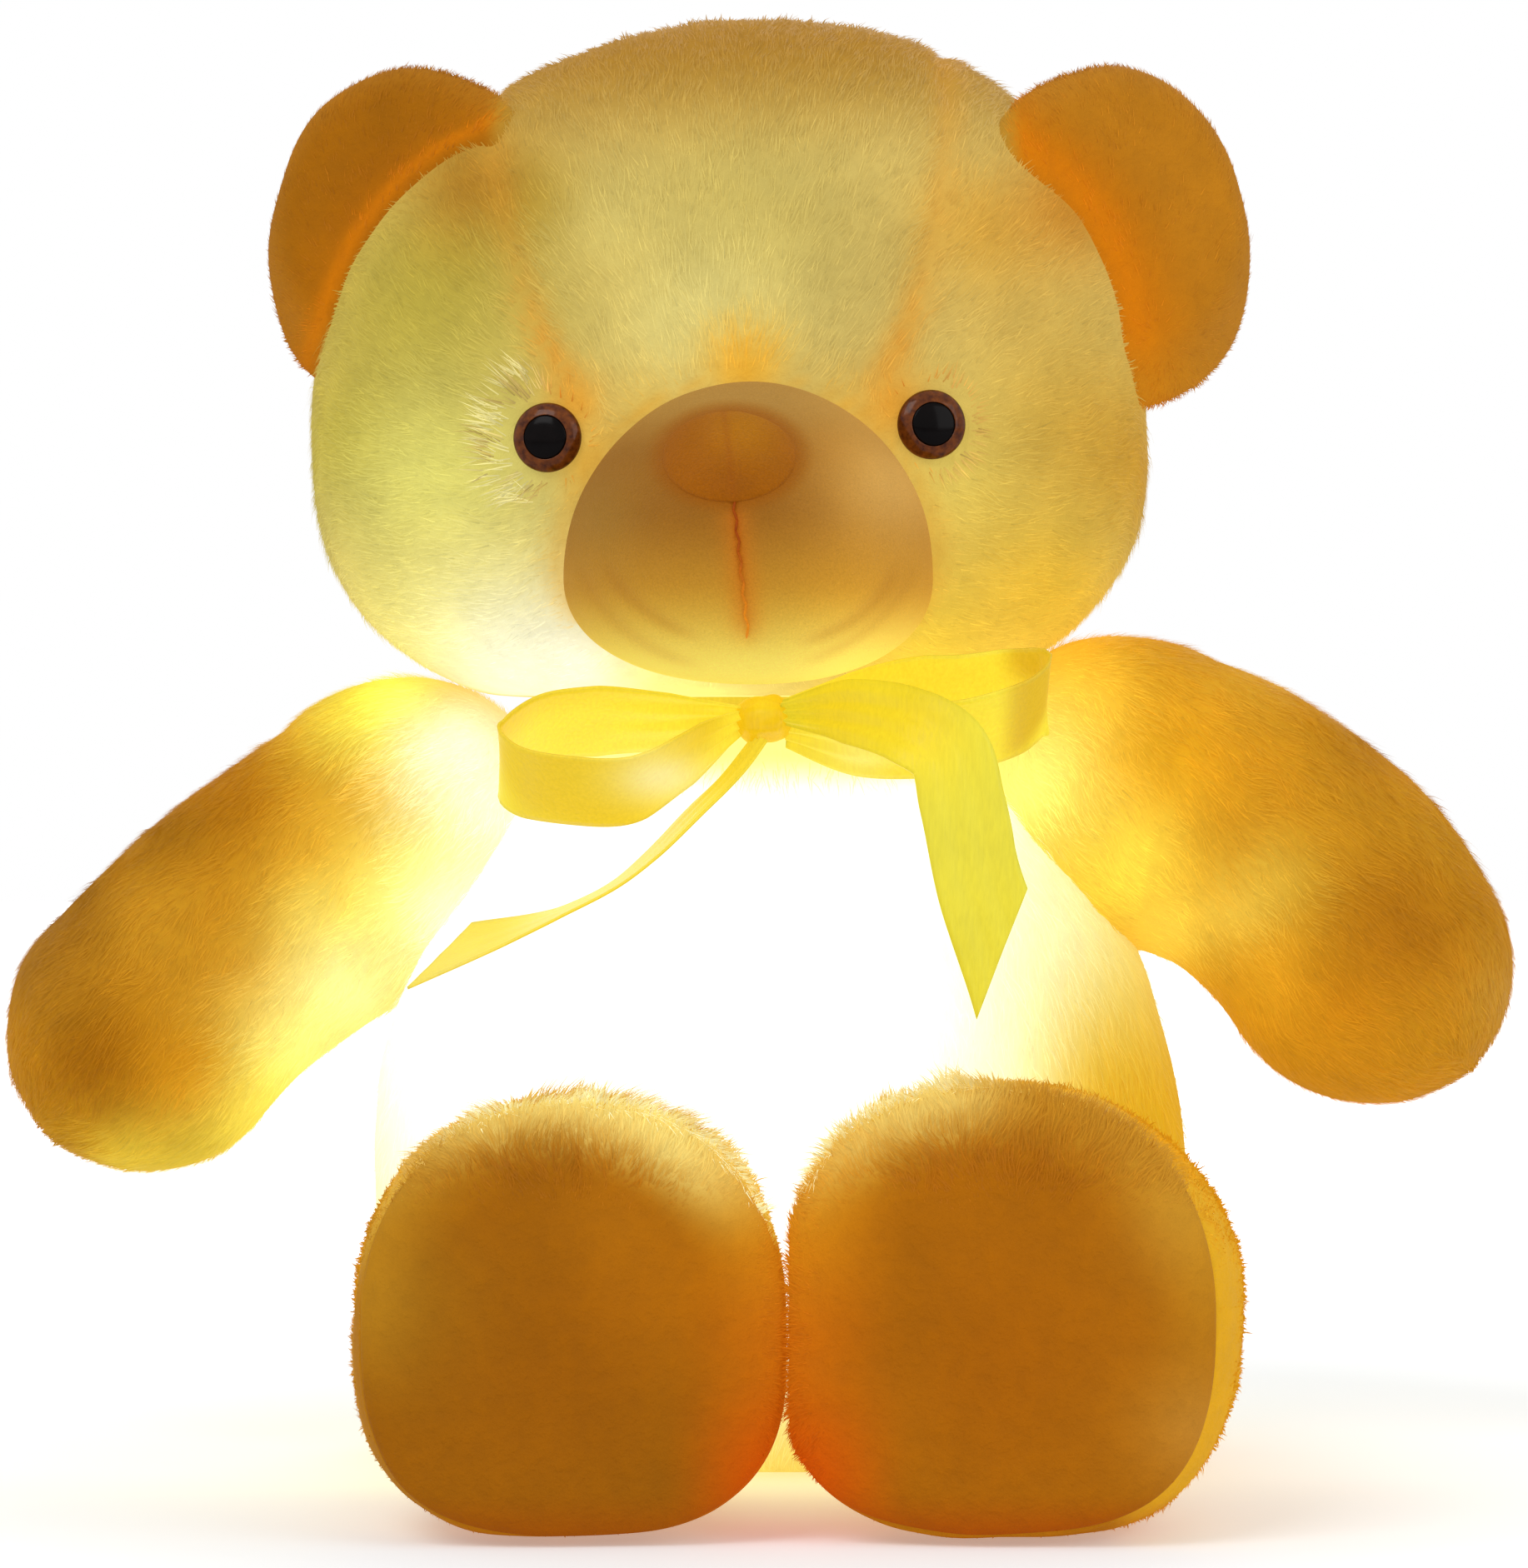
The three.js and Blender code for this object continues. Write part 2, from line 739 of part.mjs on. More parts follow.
const rightLoopShares = [
  [-0.09, 0, 0.03],
  [-0.35, -0.05, -0.02],
  [-0.62, -0.1, -0.02],
  [-0.86, -0.18, -0.12],
  [-1, -0.42, -0.46],
  [-0.93, -0.72, -0.7],
  [-0.74, -0.88, -0.82],
  [-0.5, -0.9, -0.82],
  [-0.3, -0.66, -0.5],
  [-0.09, -0.06, -0.06],
];
const leftLoopShares = [
  [0.08, 0, 0.06],
  [0.3, -0.02, 0.14],
  [0.5, -0.06, 0.22],
  [0.7, -0.06, 0.24],
  [0.88, -0.12, 0.3],
  [1, -0.4, 0.26],
  [0.94, -0.72, 0.06],
  [0.75, -0.82, -0.14],
  [0.5, -0.7, -0.24],
  [0.29, -0.36, -0.26],
  [0.08, 0, -0.14],
];
const leftTailShares = [
  [0.08, -0.14, 0.03],
  [0.36, -0.62, 0.03],
  [0.6, -0.9, -0.03],
  [0.77, -1, -0.14],
  [0.83, -0.98, -0.36],
  [0.9, -0.9, -0.68],
  [1, -0.78, -1],
];
const rightTailShares = [
  [-0.02, -0.2, -0.09],
  [-0.1, -0.42, -0.23],
  [-0.22, -0.72, -0.4],
  [-0.35, -0.92, -0.58],
  [-0.46, -1, -0.7],
  [-0.6, -1, -0.8],
  [-0.76, -0.95, -0.89],
  [-1, -0.85, -1],
];

// width over the flat ribbon's, from the knot outwards
const loopWidthShares = [0.3, 0.75, 1, 1, 1, 1, 1, 0.75, 0.3];
const leftTailWidthShares = [0.25, 0.65, 0.82, 0.86, 0.88, 0.88];
const rightTailWidthShares = [0.35, 0.8, 0.95, 0.95, 0.95, 0.95];
// how much of a tail's length its askew end takes up
const leftTailSkewShare = 0.4;
const rightTailSkewShare = 0.3;

function addRibbon(group) {
  const high = torsoHeight - gap / 2;
  const inner = neckRadius + gap;
  const outer = inner + ribbonThickness;
  const collarSection = [
    [inner, high - collarHeight],
    [outer, high - collarHeight],
    [outer, high],
    [inner, high],
    [inner, high - collarHeight],
  ];
  const collar = new THREE.LatheGeometry(
    collarSection.map(([radius, height]) => new THREE.Vector2(radius, height)), formSides,
  ).rotateX(Math.PI / 2);
  shapedPiece(group, 'neck_ribbon', collar, satin());
  const knotCentre = vector(0, -outer - gap - knotDepth / 2, torsoHeight - knotDrop);
  const knot = new THREE.SphereGeometry(1, 12, 8);
  knot.scale(knotWidth / 2, knotDepth / 2, knotHeight / 2);
  knot.translate(knotCentre.x, knotCentre.y, knotCentre.z);
  const clearOfKnot = (geometry) => cut(geometry, [
    new THREE.SphereGeometry(1, 12, 8)
      .scale(knotWidth / 2 + gap, knotDepth / 2 + gap, knotHeight / 2 + gap)
      .translate(knotCentre.x, knotCentre.y, knotCentre.z),
  ]);
  shapedPiece(group, 'bow_knot', knot, satin());
  shapedPiece(group, 'bow_loop_right', clearOfKnot(ribbon({
    points: placesOf(rightLoopShares, rightLoopReach, rightLoopDepth, rightLoopFall, knotCentre),
    widthways: [
      vector(0, -0.6, 0.8), vector(0, -0.75, 0.66), vector(0.1, -0.75, 0.66), vector(0, -0.6, 0.8),
    ],
    widthShares: loopWidthShares,
    steps: 22,
  })), satin());
  shapedPiece(group, 'bow_loop_left', clearOfKnot(ribbon({
    points: placesOf(leftLoopShares, leftLoopReach, leftLoopDepth, leftLoopRise, knotCentre),
    widthways: [
      vector(0, -0.5, 0.86), vector(0, -0.6, 0.8), vector(0.1, -0.7, 0.7), vector(0, -0.6, 0.8),
    ],
    widthShares: loopWidthShares,
    steps: 22,
  })), satin());
  shapedPiece(group, 'bow_tail_left', clearOfKnot(ribbon({
    points: placesOf(leftTailShares, leftTailReach, leftTailDepth, leftTailFall, knotCentre),
    widthways: [
      vector(0, 0, 1), vector(0.1, 0, 1), vector(0.6, 0.1, 0.7), vector(0.95, 0.1, 0.25), vector(1, 0.1, 0.2),
      vector(1, 0.1, 0.2),
    ],
    widthShares: leftTailWidthShares,
    steps: 20,
    skew: -leftTailSkew,
    skewShare: leftTailSkewShare,
  })), satin());
  shapedPiece(group, 'bow_tail_right', clearOfKnot(ribbon({
    points: placesOf(rightTailShares, rightTailReach, rightTailDepth, rightTailFall, knotCentre),
    widthways: [vector(0.5, -0.8, 0.2), vector(0.2, -1, 0), vector(0, -1, 0.1), vector(0, -1, -0.3)],
    widthShares: rightTailWidthShares,
    steps: 20,
    skew: rightTailSkew,
    skewShare: rightTailSkewShare,
  })), satin());
}

// Limbs

const shoulderPlace = (side) => vector(
  side * shoulderSpread, 0, torsoHeight - (side > 0 ? leftShoulderDrop : rightShoulderDrop),
);
const hipPlace = (side) => vector(side > 0 ? leftHipSpread : -rightHipSpread, -hipForward, hipHeight);

function addArm(name, side, reach, droopDegrees, bow) {
  const shoulder = shoulderPlace(side);
  const droop = radians(droopDegrees);
  const paw = shoulder.clone().add(vector(
    side * reach * Math.cos(droop), -armForward, -reach * Math.sin(droop),
  ));
  const lift = vector(side * Math.sin(droop), 0, Math.cos(droop)).multiplyScalar(2 * bow);
  const arch = shoulder.clone().add(paw).divideScalar(2).add(lift);
  const axis = new THREE.QuadraticBezierCurve3(shoulder, arch, paw);
  const outward = axis.getTangentAt(1);
  const forearm = loft([
    ...armStationShares.map(([way, radius]) => (
      ringAcross(axis.getPointAt(way), axis.getTangentAt(way), radius * pawRadius, limbSides)
    )),
    ...pawEndShares.map((share) => ringAcross(
      paw.clone().addScaledVector(outward, share * pawRadius), outward,
      pawRadius * Math.sqrt(1 - share ** 2), limbSides,
    )),
  ]);
  const beyond = reach + pawRadius + overrun;
  const armpit = shoulder.x + side * armpitStep;
  const inward = [armpit - side * beyond, armpit].sort((a, b) => a - b);
  const inside = box(
    inward[0], inward[1], -beyond, beyond, shoulder.z - beyond, shoulder.z + beyond,
  );
  const arm = join([ball(shoulderRadius, shoulder), cut(forearm, [inside])]);
  shapedPiece(groupAt(shoulder), `arm_${name}`, arm, goldFur());
}

function legEnds(side) {
  const footRadius = side > 0 ? leftFootRadius : rightFootRadius;
  const hip = hipPlace(side);
  const soleHeight = hipHeight + (footRadius - footFlat - hipHeight) / footFatShare;
  const sole = vector(side > 0 ? leftSoleSpread : -rightSoleSpread, -hipForward - legLength, soleHeight);
  return { footRadius, hip, sole };
}

function legForm(side) {
  const { footRadius, hip, sole } = legEnds(side);
  const reach = sole.clone().sub(hip);
  const along = reach.clone().normalize();
  const bow = side > 0 ? leftLegBow : 0;
  const leg = loft(legStationShares.map(([distance, radius]) => {
    const centre = hip.clone().addScaledVector(reach, distance);
    centre.x += bow * Math.sin(Math.PI * distance ** 2);
    const power = THREE.MathUtils.lerp(2, footPower, distance);
    const seatPower = THREE.MathUtils.lerp(2, footSeatPower, distance);
    return ringAcross(centre, along, radius * footRadius, limbSides, power, seatPower);
  }));
  return join([ball(hipRadius, hip), leg]);
}

// The space that a thigh sweeps in the torso as the leg lifts
function thighSweep(side) {
  const { hip, sole } = legEnds(side);
  const along = sole.clone().sub(hip).normalize();
  const radius = (hipRadius + gap) / Math.cos(Math.PI / sweepSides);
  return [0, 0.5, 1].map((lift) => {
    const pointing = along.clone().applyAxisAngle(vector(-1, 0, 0), radians(legLiftDegrees) * lift);
    const end = hip.clone().addScaledVector(pointing, 2 * hipRadius);
    return limb(hip, end, (length) => [[0, radius], [length, radius + thighFlare]], sweepSides);
  });
}

function addLeg(name, side) {
  const { footRadius, hip, sole } = legEnds(side);
  const far = legLength + 2 * footRadius;
  const parting = legParting - (side * gap) / 2;
  const beyondParting = side > 0 ? box(-far, legParting + gap / 2, -far * 2, far, -far, far)
    : box(parting - gap, far, -far * 2, far, -far, far);
  const underFloor = box(-far, far, -far * 2, far, -far, 0);
  const leg = cut(legForm(side), [beyondParting, underFloor]);
  const group = groupAt(hip);
  shapedPiece(group, `leg_${name}`, leg, goldFur());
  const outward = sole.clone().sub(hip).normalize();
  const seat = sole.clone().addScaledVector(outward, gap);
  const pad = limb(seat, seat.clone().add(outward), () => (
    soleRingShares.map(([radius, height]) => (
      [height * soleThickness, radius * footRadius, footPower, footSeatPower]
    ))
  ));
  shapedPiece(group, `sole_${name}`, cut(pad, [beyondParting, underFloor]), amberPile());
}

// Torso, with its sockets, the light's cavity, the leads' duct, the back pocket, the zip's recess, and
// the channel that the zip's pull runs into

const recessFace = torsoBackDepth - recessDepth;
const pocketDepth = caseDepth + gap + doorThickness + 2 * pocketRoom;
const pocketFront = recessFace - pocketWall - pocketDepth;
const lightCavityTop = lightHeight + lightTubeLength + lightHeadroom;
const ductBack = pocketFront + ductDepth + gap;
const sliderSeat = toothThickness + gap;
const bailAxis = sliderPlate + bailRise;
const pullHingeDepth = recessFace + gap + sliderSeat + bailAxis;

function addTorso() {
  const shoulderLevel = torsoHeight - neckLength;
  const levels = torsoStationShares.map(([height, width, front, back]) => levelOval(
    seatOffset * (1 - height ** 2), 0, height * shoulderLevel, width * torsoHalfWidth,
    front * torsoFrontDepth, back * torsoBackDepth, torsoSectionPower, formSides,
  ));
  [shoulderLevel, torsoHeight].forEach((height) => {
    levels.push(levelOval(0, 0, height, neckRadius, neckRadius, neckRadius, 2, formSides));
  });
  const lightBase = lightHeight - capThickness - gap;
  const lightSpace = post(lightCavityRadius, 0, -lightForward, lightBase, lightCavityTop);
  const duct = box(
    -ductHalfWidth, ductHalfWidth, -lightForward, ductBack, lightCavityTop - ductHeight, lightCavityTop,
  );
  const riser = box(
    -ductHalfWidth, ductHalfWidth, pocketFront, ductBack, pocketBase + caseHeight, lightCavityTop,
  );
  const pocketHalfWidth = caseWidth / 2 + pocketSideRoom;
  const pocketTop = pocketBase + caseHeight + pocketHeadroom;
  const pocket = box(
    -pocketHalfWidth, pocketHalfWidth, pocketFront, pocketFront + pocketDepth, pocketBase, pocketTop,
  );
  const slot = box(
    -slotHalfWidth, slotHalfWidth, pocketFront, recessFace + overrun, pocketBase + slotMargin,
    zipBase + zipLength - stopHeight,
  );
  const recess = box(
    -recessHalfWidth, recessHalfWidth, recessFace, torsoBackDepth + overrun, zipBase - stopHeight,
    zipBase + zipLength + stopHeight,
  );
  const channelHalfWidth = pullWidth / 2 + pullRoom;
  const channelFace = pullHingeDepth - pullThickness / 2 - pullRoom;
  const channelBase = zipBase + sliderHeight / 2 - pullLength - pullRoom;
  const pullChannel = box(
    -channelHalfWidth, channelHalfWidth, channelFace, torsoBackDepth + overrun, channelBase, zipBase,
  );
  const sockets = [1, -1].flatMap((side) => [
    socket(shoulderRadius, shoulderPlace(side)), socket(hipRadius, hipPlace(side)), ...thighSweep(side),
  ]);
  const hollows = [lightSpace, duct, riser, pocket, slot, recess, pullChannel, ...sockets];
  piece(bear, 'torso', cut(loft(levels), hollows), litFur());
}

// Light

const spigotRadius = lightTubeRadius - lightTubeWall - gap;

function addLight() {
  const group = groupAt(vector(0, -lightForward, lightHeight));
  const tube = cut(post(lightTubeRadius, 0, 0, 0, lightTubeLength), [
    post(lightTubeRadius - lightTubeWall, 0, 0, -overrun, lightTubeLength + overrun),
  ]);
  piece(group, 'light_tube', tube, clearPlastic());
  piece(group, 'tube_cap_bottom', join([
    post(lightTubeRadius, 0, 0, -gap - capThickness, -gap),
    post(spigotRadius, 0, 0, -gap - capThickness / 2, capSpigot),
  ]), whitePlastic());
  const topCap = join([
    post(lightTubeRadius, 0, 0, lightTubeLength + gap, lightTubeLength + gap + capThickness),
    post(spigotRadius, 0, 0, lightTubeLength - capSpigot, lightTubeLength + gap + capThickness / 2),
  ]);
  const capFoot = lightTubeLength - capSpigot;
  piece(group, 'tube_cap_top', cut(topCap, [
    post(capHoleRadius, 0, 0, capFoot - overrun, lightTubeLength + capThickness + overrun),
  ]), whitePlastic());
  const boardLow = capSpigot + gap;
  const boardHigh = lightTubeLength - capSpigot - gap;
  piece(group, 'led_board', box(
    -ledBoardWidth / 2, ledBoardWidth / 2, -ledBoardThickness / 2, ledBoardThickness / 2, boardLow, boardHigh,
  ), boardWhite());
  const rowPitch = (boardHigh - boardLow) / ledRows;
  for (let i = 0; i < 2 * ledRows; i += 1) {
    const front = i < ledRows ? 1 : -1;
    const lens = turned([
      [0, 0],
      [ledRadius, 0],
      ...ledShoulderShares.map(([radius, height]) => [radius * ledRadius, height * ledHeight]),
      [0, ledHeight],
    ], wireSides * 2);
    if (front < 0) lens.rotateZ(Math.PI);
    const led = piece(group, `led_${i + 1}`, lens, ledLens());
    const height = boardLow + (i % ledRows) * rowPitch + rowPitch / 2;
    led.position.set(0, -front * (ledBoardThickness / 2 + gap), height);
  }
}

// Battery box. Its group stands on the pocket's floor, with the box's front wall at the group's zero.

const caseFront = pocketFront + pocketRoom;
const caseBase = pocketBase + gap;
const bayLow = caseWall;
const bayHigh = bayLow + cellBayHeight;
const controlLow = bayHigh + dividerThickness;
const caseHeight = controlLow + controlBayHeight + caseWall;
const controlBoardHeight = controlBayHeight - 2 * controlBoardRoom;
const buttonHeight = controlLow + controlBayHeight / 2;
const boardFace = caseWall + boardStandoff + gap;

function addBatteryBox() {
  const group = groupAt(vector(0, caseFront, caseBase));
  const half = caseWidth / 2;
  const inner = half - caseWall;
  const screwHeight = bayHigh + dividerThickness / 2;
  const leadSlot = leadSpacing / 2 + leadRadius + 2 * gap;
  const boardDepth = boardFace + controlBoardThickness / 2;
  const shell = cut(box(-half, half, 0, caseDepth, 0, caseHeight), [
    box(-inner, inner, caseWall, caseDepth + overrun, bayLow, bayHigh),
    box(-inner, inner, caseWall, caseDepth - caseWall, controlLow, caseHeight - caseWall),
    plug(buttonRadius + gap, buttonOffset, buttonHeight, caseDepth - caseWall - gap, caseDepth + overrun),
    plug(screwRadius + gap, 0, screwHeight, caseDepth - screwLength, caseDepth + overrun),
    box(
      -leadSlot, leadSlot, boardDepth - leadSlot, boardDepth + leadSlot, caseHeight - caseWall - gap,
      caseHeight + overrun,
    ),
  ]);
  const standoffs = [-1, 1].map((side) => plug(
    standoffRadius, (side * controlBoardWidth) / 3, buttonHeight, caseWall / 2, boardFace - gap,
  ));
  piece(group, 'battery_case', join([shell, ...standoffs]), whitePlastic());
  const doorLow = caseDepth + gap;
  const doorHigh = doorLow + doorThickness;
  const headSeat = doorHigh - screwHeadThickness;
  piece(group, 'battery_door', cut(box(-half, half, doorLow, doorHigh, 0, controlLow - gap), [
    plug(screwRadius + gap, 0, screwHeight, doorLow - overrun, doorHigh + overrun),
    plug(screwHeadRadius + gap, 0, screwHeight, headSeat - gap, doorHigh + overrun),
  ]), whitePlastic());
  const screw = join([
    plug(screwHeadRadius, 0, screwHeight, headSeat, doorHigh),
    plug(screwRadius, 0, screwHeight, caseDepth - screwLength + gap, headSeat + screwHeadThickness / 2),
  ]);
  const across = screwSlotWidth / 2;
  piece(group, 'door_screw', cut(screw, [
    box(
      -screwHeadRadius - overrun, screwHeadRadius + overrun, doorHigh - screwSlotDepth, doorHigh + overrun,
      screwHeight - across, screwHeight + across,
    ),
    box(
      -across, across, doorHigh - screwSlotDepth, doorHigh + overrun, screwHeight - screwHeadRadius - overrun,
      screwHeight + screwHeadRadius + overrun,
    ),
  ]), steel());
  addCells(group);
  piece(group, 'control_board', join([
    box(
      -controlBoardWidth / 2, controlBoardWidth / 2, boardFace, boardFace + controlBoardThickness,
      buttonHeight - controlBoardHeight / 2, buttonHeight + controlBoardHeight / 2,
    ),
    box(
      buttonOffset - switchSize / 2, buttonOffset + switchSize / 2, boardFace + controlBoardThickness / 2,
      switchFace, buttonHeight - switchSize / 2, buttonHeight + switchSize / 2,
    ),
  ]), boardGreen());
  piece(group, 'power_button', join([
    plug(buttonRadius, buttonOffset, buttonHeight, flangeHigh - gap, caseDepth + buttonProud),
    plug(buttonFlangeRadius, buttonOffset, buttonHeight, flangeHigh - buttonFlangeThickness, flangeHigh),
    plug(
      switchSize / 3, buttonOffset, buttonHeight, flangeHigh - buttonFlangeThickness - buttonStem,
      flangeHigh - buttonFlangeThickness / 2,
    ),
  ]), switchRed());
}

const flangeHigh = caseDepth - caseWall - gap;
const switchFace = flangeHigh - buttonFlangeThickness - buttonStem - buttonTravel - gap;

// Upright cells in turn nub up and nub down, each between a plate at its nub and a spring at its base
function addCells(group) {
  const depth = (caseWall + caseDepth) / 2;
  const plateRoom = contactPlateThickness + 2 * gap;
  const springRoom = cellBayHeight - cellLength - cellNubLength - plateRoom;
  for (let i = 0; i < 3; i += 1) {
    const x = (i - 1) * cellPitch;
    const up = i % 2 === 0;
    const cell = join([
      post(cellRadius, 0, 0, 0, cellLength),
      post(cellNubRadius, 0, 0, cellLength / 2, cellLength + cellNubLength, 12),
    ]);
    if (!up) cell.rotateX(Math.PI);
    const battery = piece(group, `battery_${i + 1}`, cell, cellWrap());
    battery.position.set(x, depth, up ? bayLow + springRoom : bayHigh - springRoom);
    const plateLow = up ? bayHigh - gap - contactPlateThickness : bayLow + gap;
    const side = contactPlateSize / 2;
    piece(group, `contact_plate_${i + 1}`, box(
      x - side, x + side, depth - side, depth + side, plateLow, plateLow + contactPlateThickness,
    ), brass());
    const springLength = springRoom - 2 * gap - 2 * springWire;
    const coil = new THREE.CatmullRomCurve3(Array.from({ length: 8 * springTurns + 1 }, (_, k) => {
      const angle = (Math.PI * k) / 4;
      const rise = (springLength * k) / (8 * springTurns);
      return vector(springRadius * Math.cos(angle), springRadius * Math.sin(angle), rise);
    }));
    const turns = wire(coil, springWire, 5, 8 * springTurns);
    const spring = piece(group, `spring_contact_${i + 1}`, turns, steel());
    const springBase = (up ? bayLow : bayHigh - springRoom) + gap + springWire;
    spring.position.set(x, depth, springBase);
  }
}

// Leads, side by side, from the control board's top edge to the LED board's top edge
function addLeads() {
  const startY = caseFront + boardFace + controlBoardThickness / 2;
  const startZ = caseBase + buttonHeight + controlBoardHeight / 2 + gap;
  const crossing = lightCavityTop - ductHeight / 2;
  const endZ = lightHeight + lightTubeLength - capSpigot;
  const bend = ductHeight / 2;
  [['lead_red', -1, leadRed()], ['lead_black', 1, leadBlack()]].forEach(([name, side, look]) => {
    const x = (side * leadSpacing) / 2;
    const route = new THREE.CatmullRomCurve3([
      vector(x, startY, startZ),
      vector(x, startY, startZ + bend),
      vector(x, startY, crossing - 2 * bend),
      vector(x, startY - bend / 3, crossing - bend / 3),
      vector(x, startY - leadBendReachShare * bend, crossing),
      vector(x, -lightForward + leadBendReachShare * bend, crossing),
      vector(x, -lightForward + bend / 4, crossing - bend / 2),
      vector(x, -lightForward, crossing - 2 * bend),
      vector(x, -lightForward, endZ),
    ]);
    piece(bear, name, wire(route, leadRadius, wireSides, 22), look);
  });
}

// Zip, on the recess's face. Its group's zero is the foot of the chain of teeth.

function addZip() {
  const group = groupAt(vector(0, recessFace + gap, zipBase));
  [['left', 1], ['right', -1]].forEach(([name, side]) => {
    const edges = (a, b) => [side * a, side * b].sort((p, q) => p - q);
    const tape = box(...edges(tapeInner, tapeOuter), 0, tapeThickness, 0, zipLength);
    piece(group, `zip_tape_${name}`, tape, tapeCloth());
    const chain = [box(...edges(toothSpineInner, tapeInner - gap), 0, toothThickness, 0, zipLength)];
    const count = Math.floor(zipLength / toothPitch);
    for (let i = 0; i < count; i += 1) {
      const low = i * toothPitch + (side > 0 ? gap : gap + toothPitch / 2);
      chain.push(box(
        ...edges(-toothReach, toothSpineInner + toothReach / 2), 0, toothThickness, low, low + toothHeight,
      ));
    }
    piece(group, `zip_teeth_${name}`, join(chain), toothPlastic());
  });
  const stop = () => box(-tapeInner, tapeInner, 0, toothThickness, 0, stopHeight - gap);
  piece(group, 'zip_stop_bottom', stop(), brass()).position.z = -stopHeight;
  piece(group, 'zip_stop_top', stop(), brass()).position.z = zipLength + gap;
  addSlider(group);
}

function addSlider(zip) {
  const slider = new THREE.Group();
  slider.position.set(0, sliderSeat, zipLength - sliderHeight);
  zip.add(slider);
  const postOuter = bailHalfWidth + bailPostWidth;
  const middle = sliderHeight / 2;
  const bar = new THREE.CylinderGeometry(bailRadius, bailRadius, 2 * bailHalfWidth + bailPostWidth, 12);
  bar.rotateZ(Math.PI / 2).translate(0, bailAxis, middle);
  const flanges = [-1, 1].map((side) => {
    const edges = [side * sliderHalfWidth, side * (sliderHalfWidth - sliderFlange)];
    const [low, high] = edges.sort((a, b) => a - b);
    return box(low, high, tapeThickness + 2 * gap - sliderSeat, sliderPlate / 2, 0, sliderHeight);
  });
  const posts = [-1, 1].map((side) => {
    const [low, high] = [side * bailHalfWidth, side * postOuter].sort((a, b) => a - b);
    return box(low, high, sliderPlate / 2, bailAxis + bailRadius, middle - sliderLip, middle + sliderLip);
  });
  piece(slider, 'zip_slider', join([
    box(-sliderHalfWidth, sliderHalfWidth, 0, sliderPlate, 0, sliderHeight), ...flanges, bar, ...posts,
  ]), brass());
  const pull = new THREE.Group();
  pull.position.set(0, bailAxis, middle);
  slider.add(pull);
  const eyeHalf = bailRadius + gap;
  const ring = eyeHalf + pullThickness / 2;
  const halfBar = bailHalfWidth - gap;
  const eye = cut(crossbar(ring, halfBar), [crossbar(eyeHalf, halfBar + overrun)]);
  const tab = cut(box(
    -pullWidth / 2, pullWidth / 2, -pullThickness / 2, pullThickness / 2, -pullLength, -eyeHalf - gap,
  ), [
    plug(pullWidth / 4, 0, -pullLength + pullWidth / 2, -overrun, overrun, 12),
    ...[-1, 1].map((side) => {
      const [low, high] = [side * halfBar, side * (halfBar + overrun)].sort((a, b) => a - b);
      return box(low, high, -overrun, overrun, -sliderLip - bailRise, overrun);
    }),
  ]);
  piece(pull, 'zip_pull', join([eye, tab]), brass());
}

// A short cylinder along X, about the group's zero
function crossbar(radius, halfLength) {
  return new THREE.CylinderGeometry(radius, radius, 2 * halfLength, 12).rotateZ(Math.PI / 2);
}

addTorso();
addHead();
addArm('left', 1, leftArmReach, leftArmDroopDegrees, leftArmBow);
addArm('right', -1, rightArmReach, rightArmDroopDegrees, rightArmBow);
addLeg('left', 1);
addLeg('right', -1);
addLight();
addBatteryBox();
addLeads();
addZip();

export default bear;
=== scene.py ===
"""Looks of a seated plush teddy bear that glows from a lamp in its chest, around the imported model.

Lengths are millimetres until a mesh is made. The bear faces -Y, its own left is +X, and z = 0 is the ground.
"""

import math

import bpy
import numpy as np
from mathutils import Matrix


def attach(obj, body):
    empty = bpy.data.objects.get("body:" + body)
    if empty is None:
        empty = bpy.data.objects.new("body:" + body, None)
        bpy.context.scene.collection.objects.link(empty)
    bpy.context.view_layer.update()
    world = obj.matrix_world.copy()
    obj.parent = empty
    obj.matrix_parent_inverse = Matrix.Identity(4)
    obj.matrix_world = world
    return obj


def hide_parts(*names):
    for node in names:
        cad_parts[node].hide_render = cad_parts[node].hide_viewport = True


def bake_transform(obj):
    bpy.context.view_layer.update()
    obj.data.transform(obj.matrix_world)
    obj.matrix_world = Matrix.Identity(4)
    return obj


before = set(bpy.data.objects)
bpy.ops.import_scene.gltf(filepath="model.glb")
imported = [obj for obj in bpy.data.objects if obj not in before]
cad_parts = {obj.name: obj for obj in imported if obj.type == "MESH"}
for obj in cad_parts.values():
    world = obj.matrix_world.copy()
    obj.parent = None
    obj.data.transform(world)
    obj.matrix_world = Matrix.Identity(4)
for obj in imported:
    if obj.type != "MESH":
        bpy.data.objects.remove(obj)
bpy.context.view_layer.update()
scene = bpy.context.scene

MM = 0.001
FUR_SHARE = 1.0

# The photograph's camera: level, 1.3 m from the bear's middle
IMAGE_WIDTH = 1834
CAMERA_DISTANCE = 1300
CAMERA_HEIGHT = 140
PIXELS_PER_MM = 5.7
SENSOR = 36

SIDES = (1, -1)
SIDE_NAME = {1: "left", -1: "right"}


def unit(v):
    return v / np.maximum(np.linalg.norm(v, axis=-1, keepdims=True), 1e-9)


def eased(t):
    t = np.clip(t, 0, 1)
    return t * t * (3 - 2 * t)


def rise(value, start, reach):
    """From 0 at the start to 1 a reach further on, which lies below it when the reach is negative."""
    return eased((value - start) / reach)


def hump(value, reach):
    """1 at zero, falling away smoothly with the reach."""
    return np.exp(-(value / reach) ** 2)


def read(value, points):
    """A value that may change from point to point."""
    return value(points) if callable(value) else value


